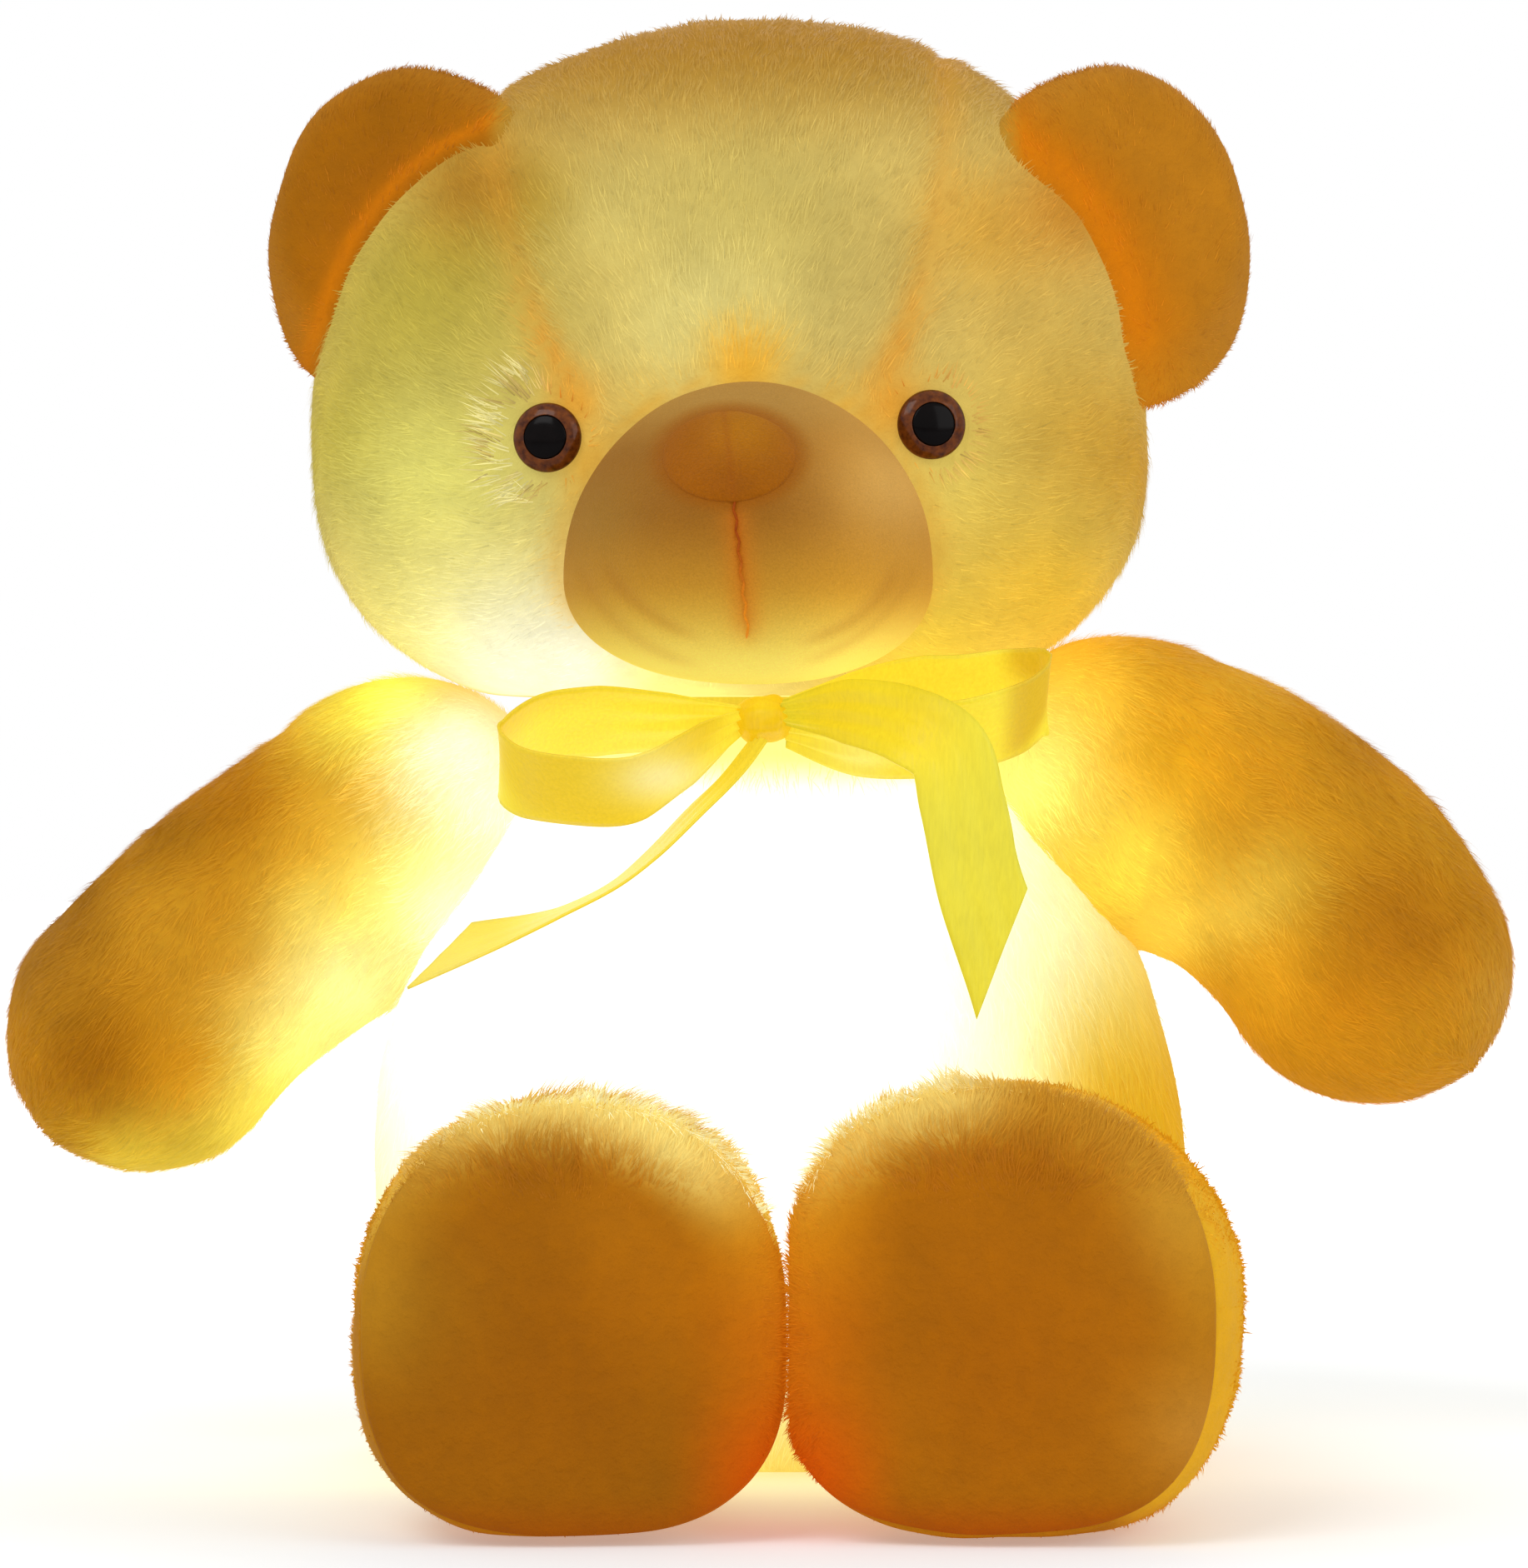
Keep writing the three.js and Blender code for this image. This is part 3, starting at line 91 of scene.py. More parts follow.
def turned_about_y(points, degrees):
    c, s = math.cos(math.radians(degrees)), math.sin(math.radians(degrees))
    x, y, z = points[..., 0], points[..., 1], points[..., 2]
    return np.stack([x * c + z * s, y, -x * s + z * c], -1)


def turned_about_z(points, degrees):
    c, s = math.cos(math.radians(degrees)), math.sin(math.radians(degrees))
    x, y, z = points[..., 0], points[..., 1], points[..., 2]
    return np.stack([x * c - y * s, x * s + y * c, z], -1)


def at_least(value, floor, softness):
    """The value, held above the floor with a soft bend."""
    return floor + softness * np.logaddexp(0, (value - floor) / softness)


LATTICE = np.random.default_rng(11).random((24, 24, 24))


def wander(points, scale, shift=0.0):
    """Smooth noise from -1 to 1, with humps as far apart as the scale."""
    q = np.asarray(points) / scale + shift
    low = np.floor(q).astype(int)
    f = eased(q - low)
    total = 0.0
    for corner in np.ndindex(2, 2, 2):
        share = np.prod(np.where(corner, f, 1 - f), axis=-1)
        i = (low + corner) % len(LATTICE)
        total = total + share * LATTICE[i[..., 0], i[..., 1], i[..., 2]]
    return 2 * total - 1


def linear(colour):
    c = np.clip(np.asarray(colour, float) / 255, 0, None)
    return np.where(c <= 0.04045, c / 12.92, ((c + 0.055) / 1.055) ** 2.4)


# Surfaces

MAP_EDGE = 0.03


class Skin:
    """A closed surface lofted through rings of points, with its faces, its map and its normals."""

    def __init__(self, rings):
        count, sides = rings.shape[:2]
        self.points = np.vstack([rings.reshape(-1, 3), rings[0].mean(0), rings[-1].mean(0)])
        i, j = (a.ravel() for a in np.meshgrid(np.arange(count - 1), np.arange(sides), indexing="ij"))
        n = (j + 1) % sides
        self.quads = np.stack([i * sides + j, i * sides + n, (i + 1) * sides + n, (i + 1) * sides + j], -1)
        up = MAP_EDGE + (1 - 2 * MAP_EDGE) * np.arange(count) / (count - 1)
        self.quad_map = np.stack([
            np.stack([(j + a) / sides, up[i + b]], -1) for a, b in ((0, 0), (1, 0), (1, 1), (0, 1))
        ], 1)
        j = np.arange(sides)
        n = (j + 1) % sides
        top = (count - 1) * sides
        self.caps = np.vstack([
            np.stack([n, j, np.full(sides, count * sides)], -1),
            np.stack([top + j, top + n, np.full(sides, count * sides + 1)], -1),
        ])
        self.cap_map = np.concatenate([
            np.stack([np.stack([(j + a) / sides, np.full(sides, b)], -1) for a, b in corners], 1)
            for corners in (
                ((1, MAP_EDGE), (0, MAP_EDGE), (0.5, 0)), ((0, 1 - MAP_EDGE), (1, 1 - MAP_EDGE), (0.5, 1)),
            )
        ])
        a, b, c = (self.points[self.triangles()[:, k]] for k in range(3))
        if (a * np.cross(b, c)).sum() < 0:
            for name in ("quads", "quad_map", "caps", "cap_map"):
                setattr(self, name, getattr(self, name)[:, ::-1])

    def triangles(self):
        return np.vstack([self.quads[:, [0, 1, 2]], self.quads[:, [0, 2, 3]], self.caps])

    def normals(self):
        t = self.triangles()
        a, b, c = (self.points[t[:, k]] for k in range(3))
        flat = np.cross(b - a, c - a)
        total = np.zeros_like(self.points)
        for k in range(3):
            np.add.at(total, t[:, k], flat)
        return unit(total)

    def push(self, distance):
        """Moves each point outwards along its normal."""
        self.points = self.points + self.normals() * np.asarray(distance)[:, None]
        return self

    def make(self, name):
        return mesh_object(name, self.points, [self.quads, self.caps], [self.quad_map, self.cap_map])

    def sample(self, count, rng):
        """Points spread evenly over the surface, with their normals."""
        t = self.triangles()
        normals = self.normals()
        a, b, c = (self.points[t[:, k]] for k in range(3))
        area = np.linalg.norm(np.cross(b - a, c - a), axis=1)
        chosen = np.sort(rng.choice(len(t), count, p=area / area.sum()))
        u, v = rng.random(count), rng.random(count)
        over = u + v > 1
        u, v = np.where(over, 1 - u, u), np.where(over, 1 - v, v)
        share = np.stack([1 - u - v, u, v], -1)[..., None]
        corners = t[chosen]
        return (self.points[corners] * share).sum(1), unit((normals[corners] * share).sum(1))


def mesh_object(name, points, face_sets, map_sets=None):
    mesh = bpy.data.meshes.new(name)
    mesh.vertices.add(len(points))
    mesh.vertices.foreach_set("co", (np.asarray(points) * MM).astype(np.float32).ravel())
    loops = np.concatenate([np.asarray(f).ravel() for f in face_sets]).astype(np.int32)
    sizes = np.concatenate([np.full(len(f), np.asarray(f).shape[1]) for f in face_sets])
    mesh.loops.add(len(loops))
    mesh.loops.foreach_set("vertex_index", loops)
    mesh.polygons.add(len(sizes))
    starts = np.concatenate([[0], np.cumsum(sizes)[:-1]]).astype(np.int32)
    mesh.polygons.foreach_set("loop_start", starts)
    mesh.update(calc_edges=True)
    if map_sets is not None:
        layer = mesh.uv_layers.new(name="OFBake")
        flat = np.concatenate([np.asarray(m).ravel() for m in map_sets]).astype(np.float32)
        layer.data.foreach_set("uv", flat)
    mesh.shade_smooth()
    obj = bpy.data.objects.new(name, mesh)
    scene.collection.objects.link(obj)
    return obj


def angles(sides):
    return 2 * np.pi * np.arange(sides) / sides


def rounded(value, power):
    return np.sign(value) * np.abs(value) ** (2 / power)


def egg(half_width, front, back, upper, lower, upper_power, lower_power, power, lean, count, sides):
    """Rings of a rounded form with its own sizes in front, behind, above and below."""
    up = np.sin(np.pi * (np.arange(1, count) / count - 0.5))[:, None]
    fullness = np.where(up < 0, lower_power, upper_power)
    share = (1 - np.abs(up) ** fullness) ** (1 / fullness)
    angle = angles(sides)
    across, deep = rounded(np.cos(angle), power), rounded(np.sin(angle), power)
    depth = np.where(np.sin(angle) < 0, front, back)
    z = up * np.where(up < 0, lower, upper)
    return np.stack([
        lean * np.maximum(up, 0) ** 2 + half_width * share * across, depth * share * deep,
        np.broadcast_to(z, (count - 1, sides)),
    ], -1)


def in_egg(local, half_width, front, back, upper, lower, upper_power, lower_power, power, lean, growth=0.0):
    """Below 1 inside an egg of these sizes, grown by the growth."""
    up = local[:, 2] / (np.where(local[:, 2] < 0, lower, upper) + growth)
    fullness = np.where(up < 0, lower_power, upper_power)
    share = np.maximum(1 - np.minimum(np.abs(up), 1) ** fullness, 1e-6) ** (1 / fullness)
    depth = np.where(local[:, 1] < 0, front, back) + growth
    beside = np.abs(local[:, 0] - lean * np.clip(up, 0, 1) ** 2)
    level = (beside / (half_width + growth)) ** power + (np.abs(local[:, 1]) / depth) ** power
    return np.where(np.abs(up) < 1, level ** (1 / power) / share, 9.0)


def section(centre, along, radius, sides, power=2.0, lower_power=2.0):
    """A ring round a place and across a direction, with its fullness above and below."""
    across = unit(np.cross([0, 0, 1.0], along))
    over = np.cross(along, across)
    angle = angles(sides)
    fullness = np.where(np.sin(angle) < 0, lower_power, power)
    return centre + radius * (
        rounded(np.cos(angle), fullness)[:, None] * across + rounded(np.sin(angle), fullness)[:, None] * over
    )


def limb(start, end, stations, sides):
    along = unit(end - start)
    return np.stack([section(start + d * along, along, r, sides, *powers) for d, r, *powers in stations])


def resampled(table, count):
    """A table of rows, its first column rising, read at more places along a smooth curve."""
    table = np.asarray(table, float)
    at = np.linspace(table[0, 0], table[-1, 0], count)
    slope = np.gradient(table[:, 1:], table[:, 0], axis=0)
    i = np.clip(np.searchsorted(table[:, 0], at, side="right") - 1, 0, len(table) - 2)
    width = table[i + 1, 0] - table[i, 0]
    t = ((at - table[i, 0]) / width)[:, None]
    width = width[:, None]
    low, high = table[i, 1:], table[i + 1, 1:]
    values = (
        (2 * t**3 - 3 * t**2 + 1) * low + (t**3 - 2 * t**2 + t) * width * slope[i]
        + (3 * t**2 - 2 * t**3) * high + (t**3 - t**2) * width * slope[i + 1]
    )
    return np.column_stack([at, values])


# Colours. Each place on the bear has the colour that the lamp gives it there, set out as a base and a
# few broad patches, each with x, z, reach, colour and strength.

MOTTLE, FINE_MOTTLE, FINE_SHARE = 13, 5, 0.6


def painted(points, base, patches=(), grain=0.035, shown=1.0):
    colour = np.tile(np.array(base, float), (len(points), 1))
    for x, z, reach, other, strength in patches:
        away = ((points[:, 0] - x) ** 2 + (points[:, 2] - z) ** 2) / reach**2
        colour += (np.array(other, float) - colour) * (shown * strength * np.exp(-away))[:, None]
    colour *= 1 + grain * (wander(points, MOTTLE) + FINE_SHARE * wander(points, FINE_MOTTLE, 3.7))[:, None]
    return colour


def mixed(colour, *layers):
    """A colour under layers of others, each followed by its share at each point."""
    for other, share in zip(layers[::2], layers[1::2]):
        colour = colour + (np.array(other, float) - colour) * np.asarray(share)[:, None]
    return colour


def dress(obj, colour, matter, glow):
    """Writes the colour that each point reflects and the light that it gives off, as two shares of the colour
    painted, which has the lamp's light and shade painted in.
    """
    tone = linear(colour)
    for name, share in (("tint", matter), ("glow", glow)):
        values = np.ones((len(tone), 4), np.float32)
        values[:, :3] = tone * np.reshape(share, (-1, 1))
        obj.data.color_attributes.new(name, "FLOAT_COLOR", "POINT").data.foreach_set("color", values.ravel())


# Materials

class Look:
    """A material and short ways to add nodes to it."""

    def __init__(self, name, **inputs):
        self.material = bpy.data.materials.new(name)
        self.material.use_nodes = True
        self.tree = self.material.node_tree
        self.shader = self.tree.nodes["Principled BSDF"]
        self.set(self.shader, **inputs)

    def set(self, node, **inputs):
        for key, value in inputs.items():
            node.inputs[key.replace("_", " ")].default_value = value
        return node

    def node(self, kind, **inputs):
        return self.set(self.tree.nodes.new(kind), **inputs)

    def link(self, out, into):
        self.tree.links.new(out, into)

    def place(self, stretch=(1, 1, 1)):
        mapping = self.node("ShaderNodeMapping")
        mapping.inputs["Scale"].default_value = stretch
        self.link(self.node("ShaderNodeTexCoord").outputs["Object"], mapping.inputs["Vector"])
        return mapping.outputs["Vector"]

    def noise(self, scale, detail=3.0, rough=0.5, vector=None):
        noise = self.node("ShaderNodeTexNoise", Scale=scale, Detail=detail, Roughness=rough)
        self.link(vector or self.place(), noise.inputs["Vector"])
        return noise.outputs["Fac"]

    def span(self, value, low, high, from_low=0.3, from_high=0.7):
        node = self.node("ShaderNodeMapRange")
        self.set(node, From_Min=from_low, From_Max=from_high, To_Min=low, To_Max=high)
        self.link(value, node.inputs["Value"])
        return node.outputs["Result"]

    def ramp(self, value, stops):
        ramp = self.node("ShaderNodeValToRGB")
        elements = ramp.color_ramp.elements
        while len(elements) < len(stops):
            elements.new(0.5)
        for element, (place, colour) in zip(elements, stops):
            element.position = place
            element.color = (*linear(colour), 1)
        self.link(value, ramp.inputs["Fac"])
        return ramp.outputs["Color"]

    def times(self, colour, value):
        scale = self.node("ShaderNodeVectorMath")
        scale.operation = "SCALE"
        self.link(colour, scale.inputs[0])
        self.link(value, scale.inputs["Scale"])
        return scale.outputs["Vector"]

    def attribute(self, name):
        node = self.node("ShaderNodeAttribute")
        node.attribute_name = name
        return node.outputs["Color"]

    def bump(self, height, depth, strength=1.0):
        bump = self.node("ShaderNodeBump", Strength=strength, Distance=depth)
        self.link(height, bump.inputs["Height"])
        self.link(bump.outputs["Normal"], self.shader.inputs["Normal"])

    def colour(self, out):
        self.link(out, self.shader.inputs["Base Color"])

    def rough(self, out):
        self.link(out, self.shader.inputs["Roughness"])


def lit(look, variation):
    """Colour and light from the painted attributes, with a fine variation over both."""
    look.colour(look.times(look.attribute("tint"), variation))
    look.link(look.times(look.attribute("glow"), variation), look.shader.inputs["Emission Color"])
    look.shader.inputs["Emission Strength"].default_value = 1.0
    look.material.cycles.emission_sampling = "NONE"
    return look.material


def fur_look(name):
    look = Look(name, Specular_IOR_Level=0.08)
    grain = look.noise(420, 2)
    look.rough(look.span(grain, 0.5, 0.8))
    return lit(look, look.span(grain, 0.97, 1.03))


def backing_look(name, stretch=(1, 1, 1)):
    """The pile close to the cloth, seen between the strands."""
    look = Look(name, Specular_IOR_Level=0.05)
    streaks = look.noise(260, 4, 0.65, look.place(stretch))
    look.rough(look.span(streaks, 0.7, 0.9))
    look.bump(streaks, 0.0012)
    return lit(look, look.span(streaks, 0.9, 1.0))


def pile_look(name, low=0.9, high=1.08):
    """Short, dense pile like velour."""
    look = Look(name, Sheen_Weight=0.1, Sheen_Tint=(1, 0.8, 0.45, 1), Specular_IOR_Level=0.1)
    fine = look.noise(2300, 3, 0.7)
    broad = look.noise(240, 3)
    look.rough(look.span(broad, 0.75, 0.95))
    look.bump(fine, 0.00045)
    return lit(look, look.span(fine, low, high))


def satin_look(name):
    look = Look(name, Sheen_Weight=0.15, Sheen_Tint=(1, 0.92, 0.5, 1), Specular_IOR_Level=0.3)
    threads = look.noise(1500, 2, 0.6, look.place((1, 1, 0.12)))
    look.rough(look.span(threads, 0.3, 0.48))
    look.bump(threads, 0.00012)
    return lit(look, look.span(threads, 0.95, 1.04))


def moulded(name, colour, rough, speck=0.02, **inputs):
    """A moulded or painted surface: a fine grain, faint cloudiness and uneven gloss."""
    look = Look(name, **inputs)
    cloud = look.noise(60, 4)
    grain = look.noise(2600, 2)
    tone = np.array(colour, float)
    look.colour(look.ramp(cloud, [(0.3, tone * (1 - 2 * speck)), (0.7, np.minimum(tone * (1 + speck), 255))]))
    look.rough(look.span(cloud, rough * 0.85, rough * 1.15))
    look.bump(grain, 0.00004)
    return look.material


def metal(name, colour, rough):
    look = Look(name, Metallic=1.0)
    scratches = look.noise(900, 3, 0.6, look.place((1, 1, 9)))
    tone = np.array(colour, float)
    look.colour(look.ramp(scratches, [(0.35, tone * 0.8), (0.65, tone)]))
    look.rough(look.span(scratches, rough * 0.7, rough * 1.4))
    look.bump(scratches, 0.00003)
    return look.material


def woven(name, colour):
    """Twill tape: fine ribs along it and a crossing weave."""
    look = Look(name, Sheen_Weight=0.2)
    ribs = look.node("ShaderNodeTexWave", Scale=500.0, Distortion=0.6, Detail=1.0)
    ribs.bands_direction = "DIAGONAL"
    look.link(look.place((1, 0.2, 1)), ribs.inputs["Vector"])
    tone = np.array(colour, float)
    look.colour(look.ramp(ribs.outputs["Fac"], [(0.2, tone * 0.72), (0.8, tone)]))
    look.rough(look.span(look.noise(400), 0.75, 0.95))
    look.bump(ribs.outputs["Fac"], 0.00015)
    return look.material


# Fur. A strand is a thin blade in two lengths that tapers to a point and bends the way it is combed. The
# scatters and the two wanders are in radians, and the ranges are shares of the strand's own size.

SWING_SCATTER, TILT_SCATTER, TILT_WANDER = 0.16, 0.1, 0.16
LEAST_TILT, MOST_TILT, BEND, MOST_BEND = 0.1, 1.36, 0.3, 1.5
LENGTH_RANGE, WIDTH_RANGE = (0.7, 1.2), (0.7, 1.3)
ROOT_DEPTH, MIDDLE_FLOOR, TIP_FLOOR = 0.5, 0.3, 0.2
MIDDLE_WIDTH = 0.75
NORMAL_LEAN = 0.35
MOST_CELLS = 9000
STRAND_PLACES = np.array([[0.12, 0.1], [0.88, 0.1], [0.2, 0.55], [0.8, 0.55], [0.5, 0.92]])
# Painted shade at the root of each strand and painted light at its tip, as shares of the strand's contrast
ROOT_SHADE_AND_TIP_LIGHT = np.array([-1.2, -1.2, 0, 0, 0.8])
QUAD, TIP = [1, 0, 2, 3], [3, 2, 4]


def grow(name, skin, coat, body, count, seed, flow, length, lean, keep=None, width=0.28, clump=4.5,
         spread=0.4, contrast=0.035):
    """Strands on a skin, each in the colour and light that its coat has at the root."""
    rng = np.random.default_rng(seed)
    root, normal = skin.sample(int(count * FUR_SHARE), rng)
    if keep is not None:
        kept = keep(root, normal)
        root, normal = root[kept], normal[kept]
    total = len(root)
    way = flow(root)
    way = unit(way - (way * normal).sum(-1, keepdims=True) * normal)
    beside = np.cross(normal, way)
    swing = spread * wander(root, clump, 1.3) + SWING_SCATTER * rng.standard_normal(total)
    way = way * np.cos(swing)[:, None] + beside * np.sin(swing)[:, None]
    beside = np.cross(normal, way)
    tilt = np.radians(np.broadcast_to(read(lean, root), total).astype(float))
    tilt = tilt + TILT_WANDER * wander(root, clump * 0.8, 7.1) + TILT_SCATTER * rng.standard_normal(total)
    tilt = np.clip(tilt, LEAST_TILT, MOST_TILT)[:, None]
    reach = (read(length, root) * rng.uniform(*LENGTH_RANGE, total))[:, None]
    lower = normal * np.cos(tilt) + way * np.sin(tilt)
    droop = np.minimum(tilt + BEND, MOST_BEND)
    upper = normal * np.cos(droop) + way * np.sin(droop)
    base = root - normal * ROOT_DEPTH
    middle = base + lower * reach * 0.5
    tip = middle + upper * reach * 0.5
    middle[:, 2], tip[:, 2] = np.maximum(middle[:, 2], MIDDLE_FLOOR), np.maximum(tip[:, 2], TIP_FLOOR)
    half = beside * (width * rng.uniform(*WIDTH_RANGE, total) / 2)[:, None]
    points = np.stack([
        base - half, base + half, middle - half * MIDDLE_WIDTH, middle + half * MIDDLE_WIDTH, tip,
    ], 1)
    first = 5 * np.arange(total)[:, None]
    cells = int(math.ceil(math.sqrt(min(total, MOST_CELLS))))
    cell = (np.arange(total) * min(1.0, cells * cells / total)).astype(int)
    corner = np.stack([cell % cells, cell // cells], -1) / cells
    places = STRAND_PLACES / cells
    obj = mesh_object(
        name, points.reshape(-1, 3), [first + np.array(QUAD), first + np.array(TIP)],
        [corner[:, None] + places[QUAD], corner[:, None] + places[TIP]],
    )
    lie = unit(np.repeat(normal, 5, axis=0) + NORMAL_LEAN * np.repeat(way, 5, axis=0)).astype(np.float32)
    obj.data.attributes.new("custom_normal", "FLOAT_VECTOR", "POINT").data.foreach_set("vector", lie.ravel())
    paint, matter, glow = coat
    colour = paint(root) * (1 + contrast * rng.standard_normal(total))[:, None]
    # Painted shade darkens each strand's root and painted light brightens its tip
    tone = colour[:, None] * (1 + contrast * ROOT_SHADE_AND_TIP_LIGHT)[None, :, None]
    shares = (np.repeat(np.broadcast_to(read(value, root), (total,)), 5) for value in (matter, glow))
    dress(obj, tone.reshape(-1, 3), *shares)
    return settle(obj, fur_look(name.replace("_strands", "_look")), body)


def along(direction):
    """Combed one way all over."""
    return lambda p: np.broadcast_to(np.asarray(direction, float), p.shape)


# The forms, with the sizes that the solids have

HEAD_CENTRE = np.array([-7.0, -4.0, 213.0])
HEAD_ROLL = -2
HEAD = dict(
    half_width=88, front=62, back=68, upper=86, lower=60, upper_power=2.2, lower_power=2.5, power=2.15,
    lean=7,
)
NECK_TOP = 158
FACE_OFFSET = 2
MUZZLE_CENTRE = np.array([-3.0, -62.0, 181.3])
MUZZLE = dict(
    half_width=37, front=46, back=24, upper=39.3, lower=21.3, upper_power=2, lower_power=2.2, power=2.1,
    lean=0,
)
EAR = dict(
    half_width=31, front=7.5, back=9.5, upper=31, lower=39.5, upper_power=2, lower_power=2.2, power=2.3,
    lean=0,
)
EAR_SPREAD = {1: 78.5, -1: 66}
EAR_RISE = 43.8
EAR_FORWARD = 18
EAR_TURN = 25
EAR_SPLAY = 19
EYE_SPREAD = 38.3
EYE_DROP = 2.3
EYE_TURN = 12
SHOULDER = {1: np.array([75.0, 0, 137.5]), -1: np.array([-75.0, 0, 129])}
SHOULDER_RADIUS = 33.5
PAW_RADIUS = 30
ARM_REACH = {1: 61.5, -1: 66.5}
ARM_DROOP = {1: 34, -1: 37}
ARM_BOW = {1: 8, -1: 4}
ARM_FORWARD = 12
HIP = {1: np.array([52.0, -42, 36]), -1: np.array([-42.0, -42, 36])}
HIP_RADIUS = 34
FOOT_RADIUS = {1: 42, -1: 40.5}
LEG_LENGTH = 123
SOLE_SPREAD = {1: 42.5, -1: 35}
LEG_BOW = {1: 3.5, -1: 0}
# Places at a joint between two bodies: metres out from the middle, and millimetres along the leg from the
# hip.
# They are handed on with the two bodies, and nothing bends the cloth there.
ARM_BEND = (0.052, 0.1)
LEG_BEND = (4, 40)
PARTING = 4.5


def to_head(points):
    return turned_about_y(points - HEAD_CENTRE, -HEAD_ROLL)


def from_head(points):
    return turned_about_y(points, HEAD_ROLL) + HEAD_CENTRE


def egg_front(x, z, sizes):
    """How far in front of an egg's centre its surface is, at a place beside and above that centre."""
    up = np.minimum(np.abs(z) / np.where(z < 0, sizes["lower"], sizes["upper"]), 1)
    fullness = np.where(z < 0, sizes["lower_power"], sizes["upper_power"])
    share = (1 - up**fullness) ** (1 / fullness)
    inside = share ** sizes["power"] - np.abs(x / sizes["half_width"]) ** sizes["power"]
    return sizes["front"] * np.maximum(inside, 0) ** (1 / sizes["power"])


def eye_place(side):
    beside = FACE_OFFSET + side * EYE_SPREAD
    return from_head(np.array([beside, -float(egg_front(beside, -EYE_DROP, HEAD)), -EYE_DROP]))


EYES = {side: eye_place(side) for side in SIDES}


def in_muzzle(points, growth=0.0):
    return in_egg(points - MUZZLE_CENTRE, **MUZZLE, growth=growth)


def in_head(points, growth=0.0):
    return in_egg(to_head(points), **HEAD, growth=growth)


# Torso

TORSO_SHARES = [
    [0, 0.78, 0.7, 0.71], [0.03, 0.87, 0.84, 0.85], [0.09, 0.95, 0.93, 0.93], [0.19, 0.99, 0.985, 0.98],
    [0.34, 1, 1, 1], [0.48, 0.99, 1, 1], [0.62, 0.945, 0.985, 0.985], [0.73, 0.885, 0.94, 0.955],
    [0.82, 0.8, 0.86, 0.885], [0.9, 0.69, 0.775, 0.795], [0.96, 0.59, 0.715, 0.73],
    *([height, 0.4988, 0.673, 0.684] for height in (1, 1.037, 1.0748)),
]
TORSO_HALF_WIDTH, TORSO_FRONT, TORSO_BACK, SHOULDER_LEVEL, SEAT_OFFSET = 85, 63, 62, 147, 4

ZIP_LOW, ZIP_HIGH, RECESS_HALF, RECESS_FACE = 35.8, 108.2, 11.6, 52.7
CHANNEL_LOW, CHANNEL_HALF, CHANNEL_FACE = 22, 3.4, 57
IN_FRONT = 99


def torso_skin(sides=224, count=120):
    rows = resampled(TORSO_SHARES, count)
    angle = angles(sides)
    rings = []
    for height, width, front, back in rows:
        power = 2.2 - 0.2 * float(rise(height, 0.9, 0.1))
        depth = np.where(np.sin(angle) < 0, front * TORSO_FRONT, back * TORSO_BACK)
        offset = SEAT_OFFSET * max(0, 1 - height**2)
        rings.append(np.stack([
            offset + width * TORSO_HALF_WIDTH * rounded(np.cos(angle), power),
            depth * rounded(np.sin(angle), power), np.full(sides, height * SHOULDER_LEVEL),
        ], -1))
    skin = Skin(np.array(rings))
    p = skin.points
    free = eased(p[:, 2] / 12) * rise(p[:, 2], 146, -12)
    skin.push(free * (0.7 * wander(p, 26) + 0.3 * wander(p, 9, 2.0)))
    p = skin.points
    for low, high, half, face, soft in (
        (ZIP_LOW, ZIP_HIGH, RECESS_HALF, RECESS_FACE, 4.5),
        (CHANNEL_LOW, ZIP_LOW, CHANNEL_HALF, CHANNEL_FACE, 3),
    ):
        beside = np.maximum(np.abs(p[:, 0]) - half, 0)
        beyond = np.maximum(np.maximum(low - p[:, 2], p[:, 2] - high), 0)
        share = 1 - eased(np.hypot(beside, beyond) / soft)
        share = np.where(p[:, 1] > 0, share, 0)
        p[:, 1] += (np.minimum(p[:, 1], face) - p[:, 1]) * share
    return skin


def zip_distance(p):
    """How far a place on the back is from the zip's recess."""
    beside = np.maximum(np.abs(p[:, 0]) - RECESS_HALF, 0)
    beyond = np.maximum(np.maximum(CHANNEL_LOW - p[:, 2], p[:, 2] - ZIP_HIGH), 0)
    beside_channel = np.maximum(np.abs(p[:, 0]) - CHANNEL_HALF, 0)
    beside = np.where(p[:, 2] < ZIP_LOW, beside_channel, beside)
    return np.where(p[:, 1] > 0, np.hypot(beside, beyond), IN_FRONT)


LAMP = np.array([-14.0, -8, 98])


def torso_away(p):
    """Distance from the lamp, shorter up and down, where the light spreads further."""
    return np.linalg.norm((p - LAMP) * [1, 0.8, 0.72], axis=1)


def torso_paint(p):
    x, y, z = p.T
    away = torso_away(p)
    # The lamp's light painted in: white near the lamp and yellower further off, a painted yellow band at the
    # seat, yellower painted shade in and round the zip's recess on the back, darker gold painted shade low on
    # the bear's left flank, and pale yellow painted light at the top
    return mixed(
        painted(p, (255, 255, 250), grain=0.01),
        (255, 249, 190), rise(away, 58, 20),
        (253, 228, 112), 0.85 * rise(away, 74, 22),
        (250, 214, 84), 0.8 * hump(z + 2, 16),
        (247, 206, 84), 0.75 * hump(zip_distance(p), 7),
        (236, 178, 24), 0.92 * (rise(x, 48, 24) * rise(z, 112, -44) * rise(y, 34, -44)),
        (255, 238, 128), 0.9 * rise(z, 138, 8),
    )


def torso_matter(p):
    return 0.34 + 0.16 * rise(torso_away(p), 58, 34)


def torso_glow(p):
    return 1.05 - 0.5 * rise(torso_away(p), 58, 34)


# Head

